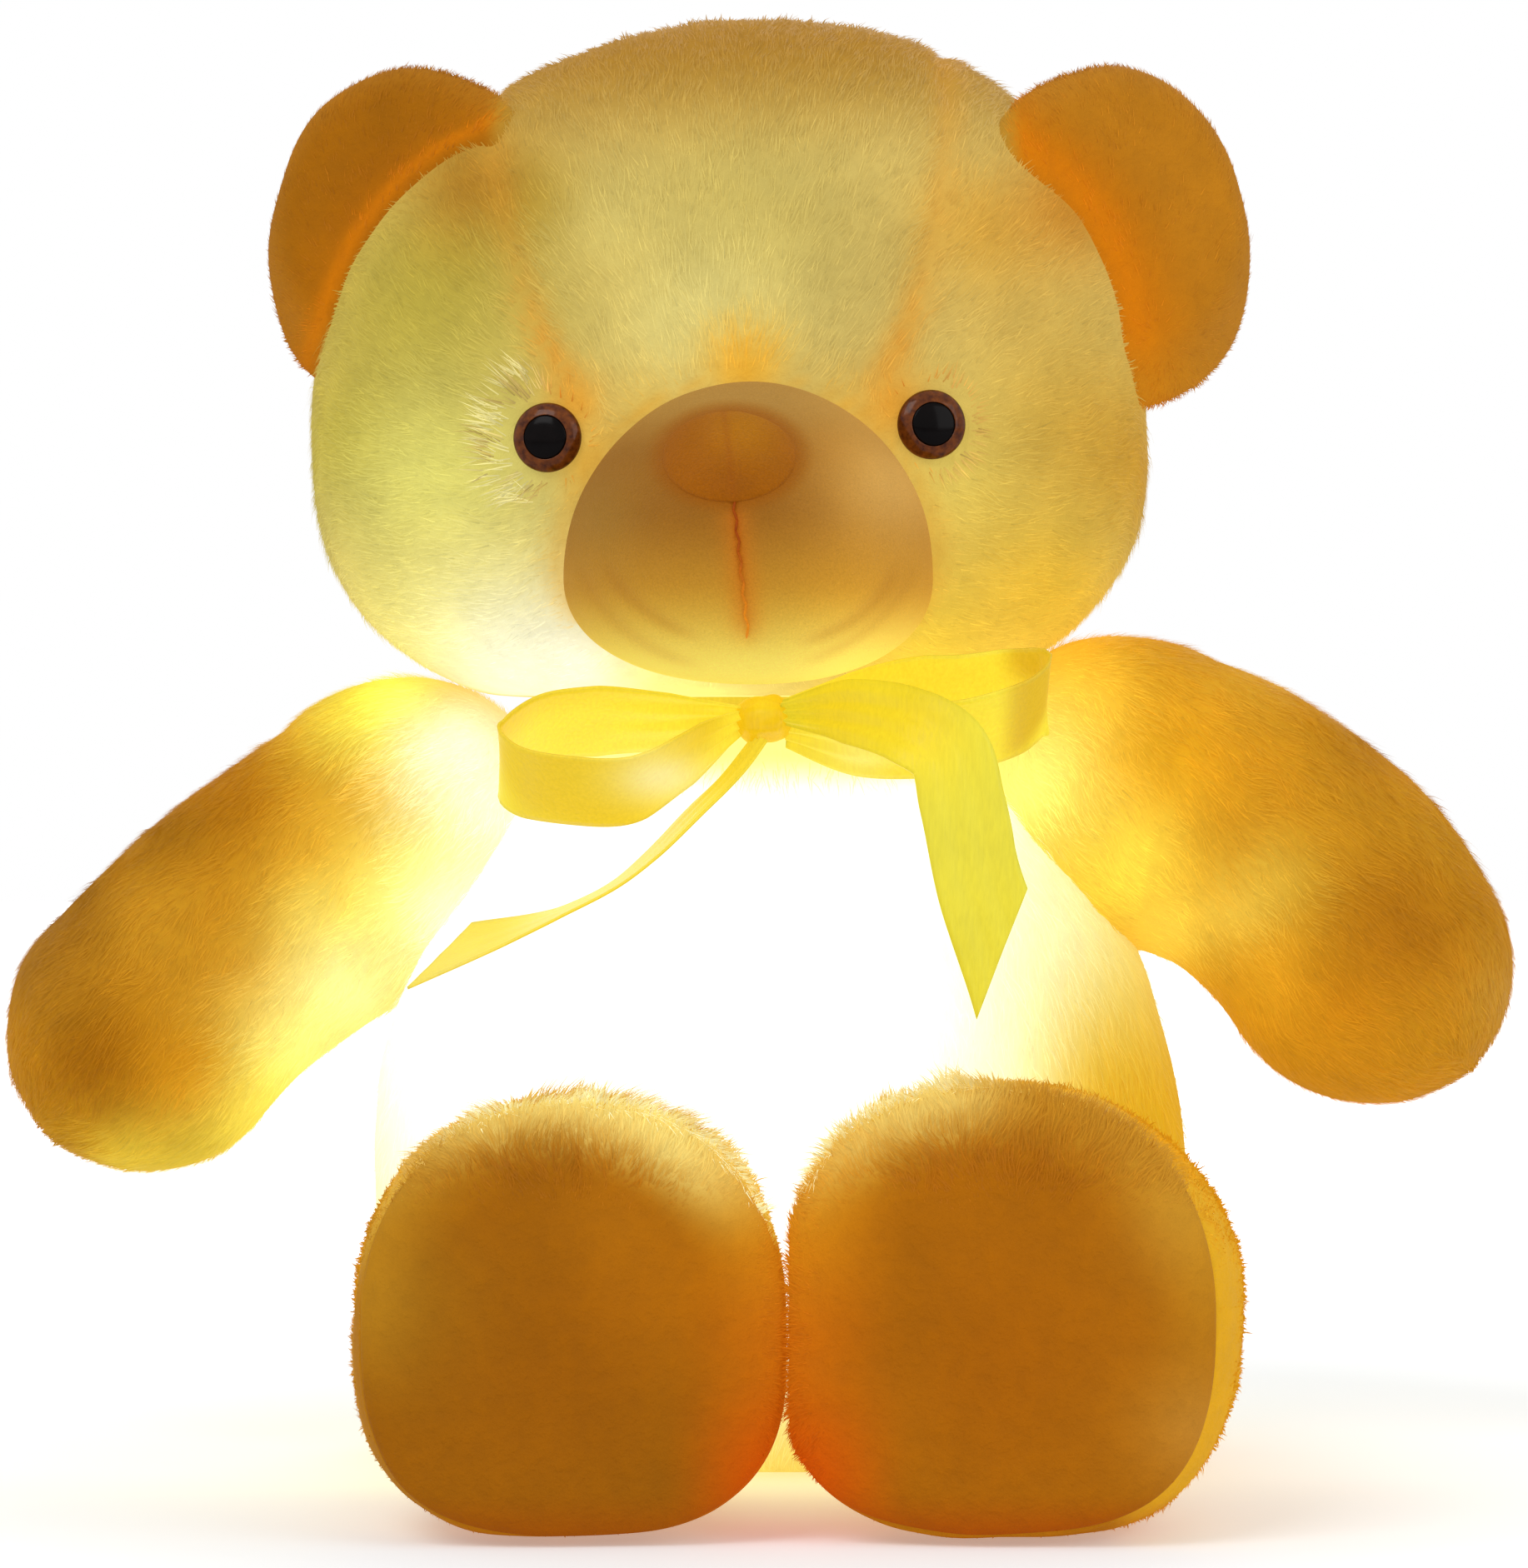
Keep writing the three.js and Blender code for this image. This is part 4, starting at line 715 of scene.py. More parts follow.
def seam_beside(local):
    """The half-width between the two seams that run from the inner eyes over the head."""
    ahead = np.interp(local[:, 2], [-4, 6, 21, 45, 65, 86], [28, 31, 37.5, 44, 47, 46])
    behind = np.interp(local[:, 2], [-60, -20, 20, 60, 86], [24, 34, 42, 46, 46])
    return np.where(local[:, 1] < 0, ahead, behind)


def seam_share(local, reach):
    """1 on the head's seams, falling away with the reach."""
    d = np.abs(local[:, 0]) - seam_beside(local)
    shown = np.where(local[:, 1] < 0, rise(local[:, 2], 2, 10), 1.0)
    return shown * hump(d, reach)


def head_skin():
    skin = Skin(egg(**HEAD, count=120, sides=180))
    local = skin.points
    groove = -1.3 * seam_share(local, 1.7)
    middle = -0.8 * np.where(local[:, 1] > 20, hump(local[:, 0], 1.6), 0)
    skin.push(groove + middle + 0.8 * wander(local, 30, 5.0) + 0.3 * wander(local, 10))
    points = from_head(skin.points)
    points[:, 2] = at_least(points[:, 2], NECK_TOP + 0.35, 0.7)
    skin.points = points
    return skin


# Patches of painted light and shade on the face: pale where the lamp's light is strongest low down, darker
# gold and brown painted shade towards the top and sides, and orange painted light beside and between the eyes
HEAD_PATCHES = [
    (-6, 250, 32, (208, 186, 98), 0.9),
    (-12, 230, 18, (232, 218, 136), 0.8),
    (-49, 258, 10, (182, 144, 44), 0.7),
    (-64, 246, 10, (196, 150, 40), 0.6),
    (-70, 236, 28, (192, 172, 66), 0.95),
    (-86, 210, 16, (184, 164, 52), 0.8),
    (-66, 200, 24, (222, 216, 112), 0.95),
    (60, 232, 26, (222, 186, 90), 0.85),
    (40, 202, 18, (236, 212, 104), 0.85),
    (60, 212, 16, (216, 174, 70), 0.8),
    (44, 252, 13, (214, 160, 56), 0.7),
    (-60, 262, 12, (180, 124, 32), 0.8),
    (62, 258, 12, (206, 136, 40), 0.8),
    (-30, 252, 9, (224, 204, 116), 0.6),
    (78, 206, 16, (212, 158, 48), 0.85),
    (-67, 174, 24, (253, 240, 130), 0.95),
    (-50, 163, 20, (255, 254, 226), 1.0),
    (-20, 156, 22, (255, 244, 150), 1.0),
    (-38, 164, 12, (255, 253, 236), 0.9),
    (34, 164, 20, (255, 222, 72), 0.9),
    (58, 178, 20, (240, 194, 58), 0.9),
    (-38, 216, 6, (232, 150, 36), 0.7),
    (-36, 205, 6, (240, 176, 56), 0.6),
    (26, 216, 7, (238, 156, 40), 0.75),
    (-4, 223, 8, (250, 178, 40), 0.8), (-22, 214, 7, (240, 186, 66), 0.5), (14, 214, 7, (240, 186, 66), 0.5),
]


def head_paint(p):
    local = to_head(p)
    ahead = rise(local[:, 1], 4, -16)
    near = 0.3 + ahead * 0.4 * rise(local[:, 2], 34, -22)
    around = ahead * hump(in_muzzle(p, 1.0) - 1, 0.09)
    # Painted light and shade: the face's patches, light from the torso low on the back of the head, darker
    # painted shade over the crown, and orange painted glow along the seams and round the upper part of the
    # muzzle
    return mixed(
        painted(p, (214, 186, 104), HEAD_PATCHES, shown=ahead),
        (255, 232, 120), 0.85 * ((1 - ahead) * rise(p[:, 2], 206, -46)),
        (180, 130, 42), 0.95 * rise(local[:, 2], 48, 34),
        (232, 160, 52), near * (0.4 + 0.6 * ahead) * seam_share(local, 3.4),
        (232, 168, 54), 0.4 * np.where(p[:, 2] > 172, around, 0),
    )


def head_glow(p):
    return 0.56 + 0.24 * rise(p[:, 2], 190, -36)


def head_matter(p):
    return 0.46 - 0.06 * rise(p[:, 2], 190, -36)


def head_flow(p):
    """Combed out from the middle of the face, down the back, and away from the eyes."""
    local = to_head(p)
    ahead = rise(local[:, 1], 10, -45)[:, None]
    out = local - np.array([2.0, 0, -16])
    out[:, 1] = 0
    out = unit(out)
    out[:, 1] += 0.5 * rise(local[:, 2], 20, 50)
    way = ahead * out + (1 - ahead) * np.array([0, 0.25, -1.0])
    for eye in EYES.values():
        d = p - eye
        near = np.exp(-((d**2).sum(1) / 12.5**2))[:, None]
        way = way * (1 - near) + unit(d * [1, 0, 1]) * near
    return way


def eye_distance(p):
    return np.min([np.linalg.norm(p - eye, axis=1) for eye in EYES.values()], axis=0)


def in_ear(p, growth=0.0):
    return np.any([in_egg(to_ear(p, side), **EAR, growth=growth) < 1 for side in SIDES], axis=0)


def ear_centre(side):
    return HEAD_CENTRE + np.array([side * EAR_SPREAD[side], -EAR_FORWARD, EAR_RISE])


def to_ear(p, side):
    return turned_about_y(turned_about_z(p - ear_centre(side), -side * EAR_TURN), side * EAR_SPLAY)


def from_ear(p, side):
    return turned_about_z(turned_about_y(p, -side * EAR_SPLAY), side * EAR_TURN)


def ear_skin(side):
    skin = Skin(egg(**EAR, count=64, sides=112))
    local = skin.points
    dish = hump((local[:, 0] / 19) ** 2 + ((local[:, 2] + 2) / 21) ** 2, 1)
    dish = np.where(local[:, 1] < 0, dish, 0)
    rim = hump(np.hypot(local[:, 0], local[:, 2]) - 27, 5)
    skin.push(-3.2 * dish + 0.8 * rim + 0.6 * wander(local, 15, side))
    skin.points = from_ear(skin.points, side) + ear_centre(side)
    return skin


# For each ear: the painted light's colours on its base, its middle and its lower part, how strong and how
# narrow the painted light along its seam is, and how far from the bear's middle its tip ends
EAR_TONES = {
    1: ((192, 124, 26), (186, 118, 22), (204, 138, 32), 0.75, 0.035, 54),
    -1: ((170, 104, 12), (158, 90, 8), (178, 104, 8), 0.25, 0.022, 58),
}


def ear_paint(side):
    base, middle, low, strength, narrow, tip = EAR_TONES[side]

    def paint(p):
        local = to_ear(p, side)
        reach = np.hypot(local[:, 0], local[:, 2])
        near = in_head(p, 2.0) - 1
        # Painted light through the ear: its lit base and middle, a paler gold at the rim, orange painted
        # light where it meets the head, and the lit colour of its lower part
        return mixed(
            painted(p, base),
            middle, 0.6 * hump(reach, 17),
            (190, 130, 48), 0.5 * rise(reach, 24, 8),
            (208, 118, 8), strength * hump(near, 0.1),
            (228, 128, 8), 0.65 * hump(near, narrow),
            low, 0.6 * rise(p[:, 2], 236, -16),
            (190, 146, 52), 0.85 * rise(np.abs(p[:, 0]), tip, -5),
        )
    return paint


# Muzzle, nose and mouth

NOSE = np.array([-6.8, 203.9])
NOSE_HALF = np.array([13.0, 9.3])
MOUTH_SLANT = math.radians(6)
MOUTH_LENGTH = 35.5
NOSE_THICKNESS = 1.15
STITCH_PITCH, STITCH_LEAN, STITCH_HALF, STITCH_RADIUS = 2.05, 0.34, 1.35, 0.26


def muzzle_front(x, z):
    local_x, local_z = x - MUZZLE_CENTRE[0], z - MUZZLE_CENTRE[2]
    return MUZZLE_CENTRE[1] - egg_front(local_x, local_z, MUZZLE)


def mouth_distance(p):
    """Distance beside the seam that runs up the muzzle's front, and where along it from the nose down."""
    x, z = p[:, 0] - NOSE[0], p[:, 2] - NOSE[1]
    down = -z * math.cos(MOUTH_SLANT) + x * math.sin(MOUTH_SLANT)
    return x * math.cos(MOUTH_SLANT) + z * math.sin(MOUTH_SLANT), down


def muzzle_grooves(p):
    """Depth of the seam, and of the two creases near the lower edge, on the muzzle's front."""
    ahead = p[:, 1] < MUZZLE_CENTRE[1] + 4
    beside, down = mouth_distance(p)
    seam = 0.8 * hump(beside, 0.8) * rise(down, -8, 3) * rise(down, 42, -8)
    dx, dz = p[:, 0] - MUZZLE_CENTRE[0], p[:, 2] - 188.5
    creases = 0
    for wide, tall, depth, tilt in ((29.5, 21.6, 0.4, 0.05), (33.5, 26.0, 0.25, -0.02)):
        ring = np.hypot(dx / wide, (dz + tilt * dx) / tall)
        shown = rise(dz, -3, -7) * rise(np.abs(beside), 7, 9)
        creases = creases + depth * hump((ring - 1) * tall, 1.2) * shown
    return np.where(ahead, seam, 0), creases * ahead


def muzzle_skin():
    skin = Skin(egg(**MUZZLE, count=190, sides=300) + MUZZLE_CENTRE)
    p = skin.points
    return skin.push(0.35 * wander(p, 14) - sum(muzzle_grooves(p)))


def nose_ring(p):
    return np.hypot((p[:, 0] - NOSE[0]) / NOSE_HALF[0], (p[:, 2] - NOSE[1]) / NOSE_HALF[1])


def muzzle_paint(p):
    x, y, z = p.T
    beside, down = mouth_distance(p)
    seam, creases = muzzle_grooves(p)
    # Painted light and shade: darker and lighter patches, lighter on top, the torso's painted glow bright
    # along the lower part, and brighter towards the bear's left
    colour = painted(p, (162, 106, 30), [
        (-3, 196, 12, (150, 90, 18), 0.6), (26, 200, 15, (206, 158, 78), 0.9),
        (-32, 192, 10, (168, 122, 42), 0.7), (-14, 190, 12, (150, 94, 22), 0.7),
    ], grain=0.02)
    colour = mixed(
        colour,
        (188, 142, 66), 0.85 * rise(z, 203, 14),
        (206, 150, 44), rise(z, 196, -24),
        (255, 238, 108), rise(z, 180, -20),
    ) * (1 + 0.12 * eased(x / 22))[:, None]
    # Painted glow and shade at the grooves: orange painted glow along the mouth's seam, darker painted shade
    # in the seam and in the creases, and the nose's brown round the nose pad
    return mixed(
        colour,
        (214, 116, 20), 0.5 * hump(beside, 3.0) * rise(down, 8, 5) * rise(down, 39, -8) * (y < -80),
        (186, 88, 6), np.minimum(0.6 * seam, 0.7) * rise(z, 176, 10),
        (170, 108, 30), np.minimum(0.6 * creases, 0.25),
        (160, 90, 8), 0.85 * rise(nose_ring(p), 1.34, -0.38),
    )


def muzzle_glow(p):
    return 0.42 + 0.1 * rise(p[:, 2], 180, -16)


def nose_paint(p):
    # Painted light makes the top of the nose lighter, and painted shade darkens it lower down and in the dent
    # along its seam
    colour = painted(p, (164, 92, 0), [
        (NOSE[0] + 3, 210, 8, (186, 118, 2), 0.8), (NOSE[0], 197, 6, (148, 80, 2), 0.6),
    ], grain=0.03)
    return mixed(colour, (160, 82, 6), 0.3 * hump(mouth_distance(p)[0], 0.7))


def nose_skin():
    """A thin pad on the muzzle: rings run from the middle of its front over the rim to its hidden back."""
    rings = []
    angle = angles(72)
    profile = [(s, NOSE_THICKNESS * (1 - s**6) ** 0.5) for s in np.linspace(0.04, 0.995, 22)]
    profile += [(1.0, 0.0), (0.97, -0.8), (0.7, -0.9), (0.35, -0.9), (0.05, -0.9)]
    for share, height in profile:
        x = NOSE[0] + NOSE_HALF[0] * share * np.cos(angle)
        z = NOSE[1] + NOSE_HALF[1] * share * np.sin(angle)
        rings.append(np.stack([x, muzzle_front(x, z) - height, z], -1))
    skin = Skin(np.array(rings))
    p = skin.points
    dent = 0.3 * hump(mouth_distance(p)[0], 0.8)
    p[:, 1] += np.where(p[:, 1] < muzzle_front(p[:, 0], p[:, 2]), dent, 0)
    return skin


def mouth_thread():
    """A row of short slanted stitches that lie in the seam."""
    way = np.array([math.sin(MOUTH_SLANT), -math.cos(MOUTH_SLANT)])
    points, quads, caps, offset = [], [], [], 0
    for k, start in enumerate(np.arange(NOSE_HALF[1] - 0.6, MOUTH_LENGTH - 0.5, STITCH_PITCH)):
        middle = NOSE + way * (start + 1.2)
        reach = way * STITCH_HALF + np.array([STITCH_LEAN if k % 2 else -STITCH_LEAN, 0])
        rings = []
        for share in np.linspace(-1, 1, 9):
            radius = STITCH_RADIUS * math.sqrt(max(1 - share**4, 0.02))
            x, z = middle + reach * share
            y = float(muzzle_front(np.array(x), np.array(z))) + 0.25 + 0.35 * share**2
            a = angles(8)
            rings.append(np.stack([x + radius * np.cos(a), y + radius * np.sin(a), np.full(8, z)], -1))
        stitch = Skin(np.array(rings))
        points.append(stitch.points)
        quads.append(stitch.quads + offset)
        caps.append(stitch.caps + offset)
        offset += len(stitch.points)
    points = np.vstack(points)
    return mesh_object("mouth_stitches", points, [np.vstack(quads), np.vstack(caps)]), points


# Arms and legs

ARM_SHARES = [[0, 1.05], [0.25, 1.03], [0.5, 1.01], [0.75, 1], [1, 1]]
LEG_SHARES = [
    [0, 0.8], [0.22, 0.81], [0.42, 0.88], [0.58, 0.955], [0.7, 0.99], [0.8, 1], [0.89, 1], [0.96, 0.99],
    [1, 0.97],
]
FOOT_POWER, FOOT_SEAT_POWER = 2.15, 2.8
SOLE_THICKNESS = 7
SOLE_RINGS = [
    [0, 0.25], [0, 0.7], [0, 0.93], [0.02, 0.955], [0.1, 0.965], [0.25, 0.957], [0.4, 0.935], [0.53, 0.903],
    [0.65, 0.853], [0.77, 0.78], [0.86, 0.68], [0.92, 0.56], [0.96, 0.42], [0.985, 0.28], [1, 0.02],
]
FOOT_FLAT = 0.5
FOOT_FAT = 0.8
ARM_SIDES, LEG_SIDES, SOLE_SIDES = 128, 160, 144
BALL_FIRST, BALL_LAST = 0.12, 1.45
GROUND_CLEARANCE = 0.15
NOTCH = -45.5


def paw_of(side):
    droop = math.radians(ARM_DROOP[side])
    reach = ARM_REACH[side]
    return SHOULDER[side] + np.array([side * reach * math.cos(droop), -ARM_FORWARD, -reach * math.sin(droop)])


def ball_or(radius, distance, other):
    """The wider of a ball round the joint and a limb, at a distance along the limb."""
    return max(other, math.sqrt(max(radius**2 - distance**2, 0)))


def arm_skin(side):
    """A ball at the shoulder, an arched forearm and a round paw."""
    shoulder, paw = SHOULDER[side], paw_of(side)
    droop = math.radians(ARM_DROOP[side])
    lift = np.array([side * math.sin(droop), 0, math.cos(droop)]) * 2 * ARM_BOW[side]
    arch = (shoulder + paw) / 2 + lift
    rings = []
    start = unit(arch - shoulder)
    for a in np.linspace(BALL_FIRST, BALL_LAST, 18):
        centre = shoulder - start * SHOULDER_RADIUS * math.cos(a)
        rings.append(section(centre, start, SHOULDER_RADIUS * math.sin(a), ARM_SIDES))
    length = np.linalg.norm(arch - shoulder) + np.linalg.norm(paw - arch)
    for t, share in resampled(ARM_SHARES, 40):
        centre = (1 - t) ** 2 * shoulder + 2 * t * (1 - t) * arch + t**2 * paw
        along = unit((1 - t) * (arch - shoulder) + t * (paw - arch))
        radius = ball_or(SHOULDER_RADIUS, t * length, share * PAW_RADIUS)
        rings.append(section(centre, along, radius, ARM_SIDES))
    outward = unit(paw - arch)
    for a in np.linspace(0.06, 1.5, 26):
        centre = paw + outward * PAW_RADIUS * math.sin(a)
        rings.append(section(centre, outward, PAW_RADIUS * math.cos(a), ARM_SIDES))
    skin = Skin(np.array(rings))
    p = skin.points
    return skin.push(0.9 * wander(p, 24, side) + 0.35 * wander(p, 9))


def leg_ends(side):
    radius = FOOT_RADIUS[side]
    height = HIP[side][2] + (radius - FOOT_FLAT - HIP[side][2]) / FOOT_FAT
    return radius, HIP[side], np.array([side * SOLE_SPREAD[side], HIP[side][1] - LEG_LENGTH, height])


def trimmed(points, side, softness=0.45):
    """Held off the ground and off the other foot."""
    points = points.copy()
    points[:, 2] = at_least(points[:, 2], GROUND_CLEARANCE, 0.8)
    limit = side * PARTING + GROUND_CLEARANCE
    points[:, 0] = side * at_least(side * points[:, 0], limit, softness)
    return points


def leg_skin(side):
    radius, hip, sole = leg_ends(side)
    length = np.linalg.norm(sole - hip)
    around = np.linspace(BALL_FIRST, BALL_LAST, 16)
    back = [(-HIP_RADIUS * math.cos(a), HIP_RADIUS * math.sin(a)) for a in around]
    middle = [(
        d * length, ball_or(HIP_RADIUS, d * length, r * radius), 2 + (FOOT_POWER - 2) * d,
        2 + (FOOT_SEAT_POWER - 2) * d,
    ) for d, r in resampled(LEG_SHARES, 64)]
    end = [(length + 0.2, share * radius, FOOT_POWER, FOOT_SEAT_POWER) for share in (0.93, 0.7, 0.45, 0.2)]
    stations = back + middle + end
    rings = limb(hip, sole, stations, LEG_SIDES)
    way = np.clip(np.array([station[0] for station in stations]) / length, 0, 1)
    rings[:, :, 0] += (LEG_BOW[side] * np.sin(np.pi * way**2))[:, None]
    skin = Skin(rings)
    p = skin.points
    skin.push(0.8 * wander(p, 24, side + 4) + 0.35 * wander(p, 9))
    skin.points = trimmed(skin.points, side)
    return skin


def sole_skin(side):
    radius, hip, sole = leg_ends(side)
    outward = unit(sole - hip)
    seat = sole + outward * 0.3
    rings = [(h * SOLE_THICKNESS, r * radius, FOOT_POWER, FOOT_SEAT_POWER) for h, r in SOLE_RINGS]
    fine = []
    for low, high in zip(rings, rings[1:]):
        fine += [tuple(a + (b - a) * s for a, b in zip(low, high)) for s in (0, 0.34, 0.67)]
    skin = Skin(limb(seat, seat + outward, fine + rings[-1:], SOLE_SIDES))
    p = skin.points
    skin.push(0.35 * wander(p, 13, side))
    skin.points = trimmed(skin.points, side, 0.3)
    return skin


# Patches of painted light and shade on each arm: pale yellow to white light near the torso, darker amber
# painted shade and paler painted highlights further out
ARM_PATCHES = {
    1: [
        (66, 160, 15, (250, 196, 48), 0.9), (52, 140, 20, (255, 244, 130), 1.0),
        (84, 146, 12, (228, 164, 24), 0.8), (74, 124, 15, (255, 224, 74), 0.9),
        (84, 110, 10, (252, 218, 80), 0.8), (98, 114, 9, (238, 206, 84), 0.7),
        (106, 122, 10, (230, 194, 70), 0.7), (118, 134, 12, (204, 146, 28), 0.7),
        (126, 146, 10, (190, 130, 30), 0.7),
        (130, 112, 15, (188, 120, 16), 0.9), (104, 100, 10, (228, 168, 36), 0.7),
        (118, 97, 9, (206, 134, 18), 0.6), (126, 76, 12, (222, 152, 26), 0.8),
        (153, 98, 11, (206, 152, 54), 0.7), (140, 135, 12, (208, 150, 34), 0.6),
        (100, 165, 13, (224, 170, 48), 0.7),
    ],
    -1: [
        (-92, 152, 12, (240, 202, 60), 0.8), (-78, 158, 13, (255, 250, 84), 1.0),
        (-63, 147, 13, (255, 255, 216), 1.0), (-56, 134, 18, (255, 255, 226), 1.0),
        (-73, 116, 17, (255, 246, 110), 1.0), (-60, 112, 17, (255, 255, 210), 1.0),
        (-90, 116, 11, (250, 226, 100), 0.8), (-86, 98, 13, (255, 252, 170), 0.9),
        (-96, 82, 17, (255, 248, 150), 0.95),
        (-103, 70, 15, (250, 234, 92), 0.9), (-118, 60, 12, (226, 202, 66), 0.85),
        (-94, 130, 12, (238, 186, 52), 0.75), (-110, 138, 15, (182, 118, 14), 0.9),
        (-125, 131, 10, (164, 108, 14), 0.8), (-140, 114, 13, (156, 102, 18), 0.8),
        (-125, 112, 12, (206, 148, 34), 0.8), (-136, 84, 14, (174, 108, 8), 0.9),
        (-118, 84, 10, (222, 150, 20), 0.7), (-150, 104, 12, (176, 120, 28), 0.8),
        (-130, 62, 11, (236, 206, 66), 0.9), (-146, 66, 8, (196, 142, 20), 0.6),
    ],
}


def arm_paint(side):
    base = (208, 144, 25) if side > 0 else (210, 147, 28)
    return lambda p: painted(p, base, ARM_PATCHES[side])


def body_light(p):
    """How near a place is to the glowing torso, from 1 beside it to 0 far off."""
    away = np.linalg.norm((p - [0, 0, 85]) / [78, 62, 88], axis=1)
    return 1 - rise(away, 0.85, 1.1)


def limb_glow(p):
    return 0.46 + 0.4 * body_light(p)


def limb_matter(p):
    return 0.56 - 0.12 * body_light(p)


def leg_paint(side):
    base = (232, 176, 44) if side > 0 else (222, 162, 36)

    def paint(p):
        x, y, z = p.T
        near = rise(-y, 140, 22) * (1 - rise(z, 40, 30))
        outer = rise(x, 62, 10)
        inner = rise(np.abs(x - PARTING), 22, -20) * rise(-y, 100, 50)
        # Painted light and shade: pale light near the torso, yellow at the upper front, darker amber painted
        # shade low at the front, gold on the outer flank of the bear's left leg, yellow light up the inner
        # side and red-orange painted light low between the legs, and darker painted shade near the ground
        return mixed(
            painted(p, base),
            (255, 248, 150), 0.95 * rise(y, -104, 44),
            (244, 202, 84), 0.8 * rise(-y, 140, 20) * rise(z, 30, 40),
            (176, 112, 16), 0.85 * near * (1 - outer),
            (236, 172, 26), 0.7 * outer,
            (255, 214, 70), 0.6 * inner * rise(z, 40, 24),
            (232, 92, 4), 0.9 * inner * rise(z, 44, -36),
            (206, 120, 16), 0.6 * rise(z, 10, -10),
        )
    return paint


def top_light(p, side):
    """Where the light from the torso shows through the fur on top of a foot."""
    if side > 0:
        return 0.1 + 0.75 * rise(p[:, 0], 52, -20)
    return 0.3 + 0.7 * rise(p[:, 0], -66, 16)


def sole_paint(side):
    middle = side * SOLE_SPREAD[side]
    # Each sole's base and patches are painted light and shade; low_share is how strong the darker painted
    # shade near the ground is
    if side > 0:
        base, low_share, shift = (176, 104, 10), 0.7, 2
        patches = [
            (middle, 34, 22, (174, 98, 8), 0.8), (middle + 36, 60, 12, (206, 146, 50), 0.7),
            (middle + 38, 22, 13, (198, 138, 50), 0.8),
        ]
    else:
        base, low_share, shift = (164, 98, 10), 0.4, 6
        patches = [
            (middle, 34, 22, (160, 92, 8), 0.8), (middle - 34, 46, 15, (166, 112, 22), 0.8),
            (-20, 46, 15, (188, 110, 10), 0.7), (-26, 62, 12, (184, 112, 14), 0.6),
        ]

    def paint(p):
        x, y, z = p.T
        rim = np.hypot(x - middle, z - 42) / FOOT_RADIUS[side]
        high = np.hypot(x - middle + shift, z - 40) / FOOT_RADIUS[side]
        top = rise(z, 50, 24) * rise(high, 0.72, 0.28) * top_light(p, side)
        inner = rise(np.abs(x - PARTING), 24, -24)
        # Painted light and shade: a lighter gold rim, the torso's painted light over the top, orange and
        # red-orange painted light on the inner side, and darker painted shade near the ground
        return mixed(
            painted(p, base, patches, grain=0.025),
            (206, 146, 34), 0.6 * rise(rim, 0.6, 0.36) * rise(z, 20, 30),
            (255, 230, 132), 0.95 * top,
            (226, 136, 14), 0.75 * inner * rise(z, 36, 20) * (1 - 0.7 * top),
            (220, 108, 6), 0.7 * inner * rise(z, 60, -24),
            (222, 84, 4), 0.9 * (inner * rise(z, 34, -24)),
            (186, 82, 8), low_share * rise(z, 11, -9),
        )
    return paint


# Ribbon: the solids' centre lines at a finer pitch, with a soft cross-section

RIBBON_WIDTH = 20
RIBBON_STEPS, RIBBON_LANES = 90, 17
FACE_HALF, EDGE_BEAD = 0.2, 0.12
COLLAR_LOW, COLLAR_HIGH, COLLAR_RADIUS = 150.45, 157.85, 43.1
KNOT = np.array([0, -48.8, 153.1])
KNOT_HALF = np.array([6, 5, 5])
RIGHT_LOOP = [
    [-0.09, 0, 0.03], [-0.35, -0.05, -0.02], [-0.62, -0.1, -0.02], [-0.86, -0.18, -0.12], [-1, -0.42, -0.46],
    [-0.93, -0.72, -0.7], [-0.74, -0.88, -0.82], [-0.5, -0.9, -0.82], [-0.3, -0.66, -0.5],
    [-0.09, -0.06, -0.06],
]
LEFT_LOOP = [
    [0.08, 0, 0.06], [0.3, -0.02, 0.14], [0.5, -0.06, 0.22], [0.7, -0.06, 0.24], [0.88, -0.12, 0.3],
    [1, -0.4, 0.26], [0.94, -0.72, 0.06], [0.75, -0.82, -0.14], [0.5, -0.7, -0.24], [0.29, -0.36, -0.26],
    [0.08, 0, -0.14],
]
LEFT_TAIL = [
    [0.08, -0.14, 0.03], [0.36, -0.62, 0.03], [0.6, -0.9, -0.03], [0.77, -1, -0.14], [0.83, -0.98, -0.36],
    [0.9, -0.9, -0.68], [1, -0.78, -1],
]
RIGHT_TAIL = [
    [-0.02, -0.2, -0.09], [-0.1, -0.42, -0.23], [-0.22, -0.72, -0.4], [-0.35, -0.92, -0.58],
    [-0.46, -1, -0.7], [-0.6, -1, -0.8], [-0.76, -0.95, -0.89], [-1, -0.85, -1],
]
LOOP_WIDTHS = [0.3, 0.75, 1, 1, 1, 1, 1, 0.75, 0.3]
# One satin, with the torso's painted light on the loops' insides and darker painted shade on their outsides
SATIN_LIT_INSIDE, SATIN_SHADED_OUTSIDE = (255, 236, 62), (240, 208, 40)


def curve_at(points, ways):
    """Places on the smooth curve through the points, at shares of the way from the first to the last."""
    points = np.asarray(points, float)
    last = len(points) - 1
    full = np.vstack([2 * points[0] - points[1], points, 2 * points[-1] - points[-2]])
    out = []
    for way in ways:
        i = min(int(way * last), last - 1)
        w = way * last - i
        x0, x1, x2, x3 = full[i: i + 4]
        d0, d1, d2 = (max(np.linalg.norm(b - a), 1e-8) ** 0.5 for a, b in ((x0, x1), (x1, x2), (x2, x3)))
        t1 = ((x1 - x0) / d0 - (x2 - x0) / (d0 + d1) + (x2 - x1) / d1) * d1
        t2 = ((x2 - x1) / d1 - (x3 - x1) / (d1 + d2) + (x3 - x2) / d2) * d1
        out.append(x1 + t1 * w + (3 * (x2 - x1) - 2 * t1 - t2) * w**2 + (2 * (x1 - x2) + t1 + t2) * w**3)
    return np.array(out)


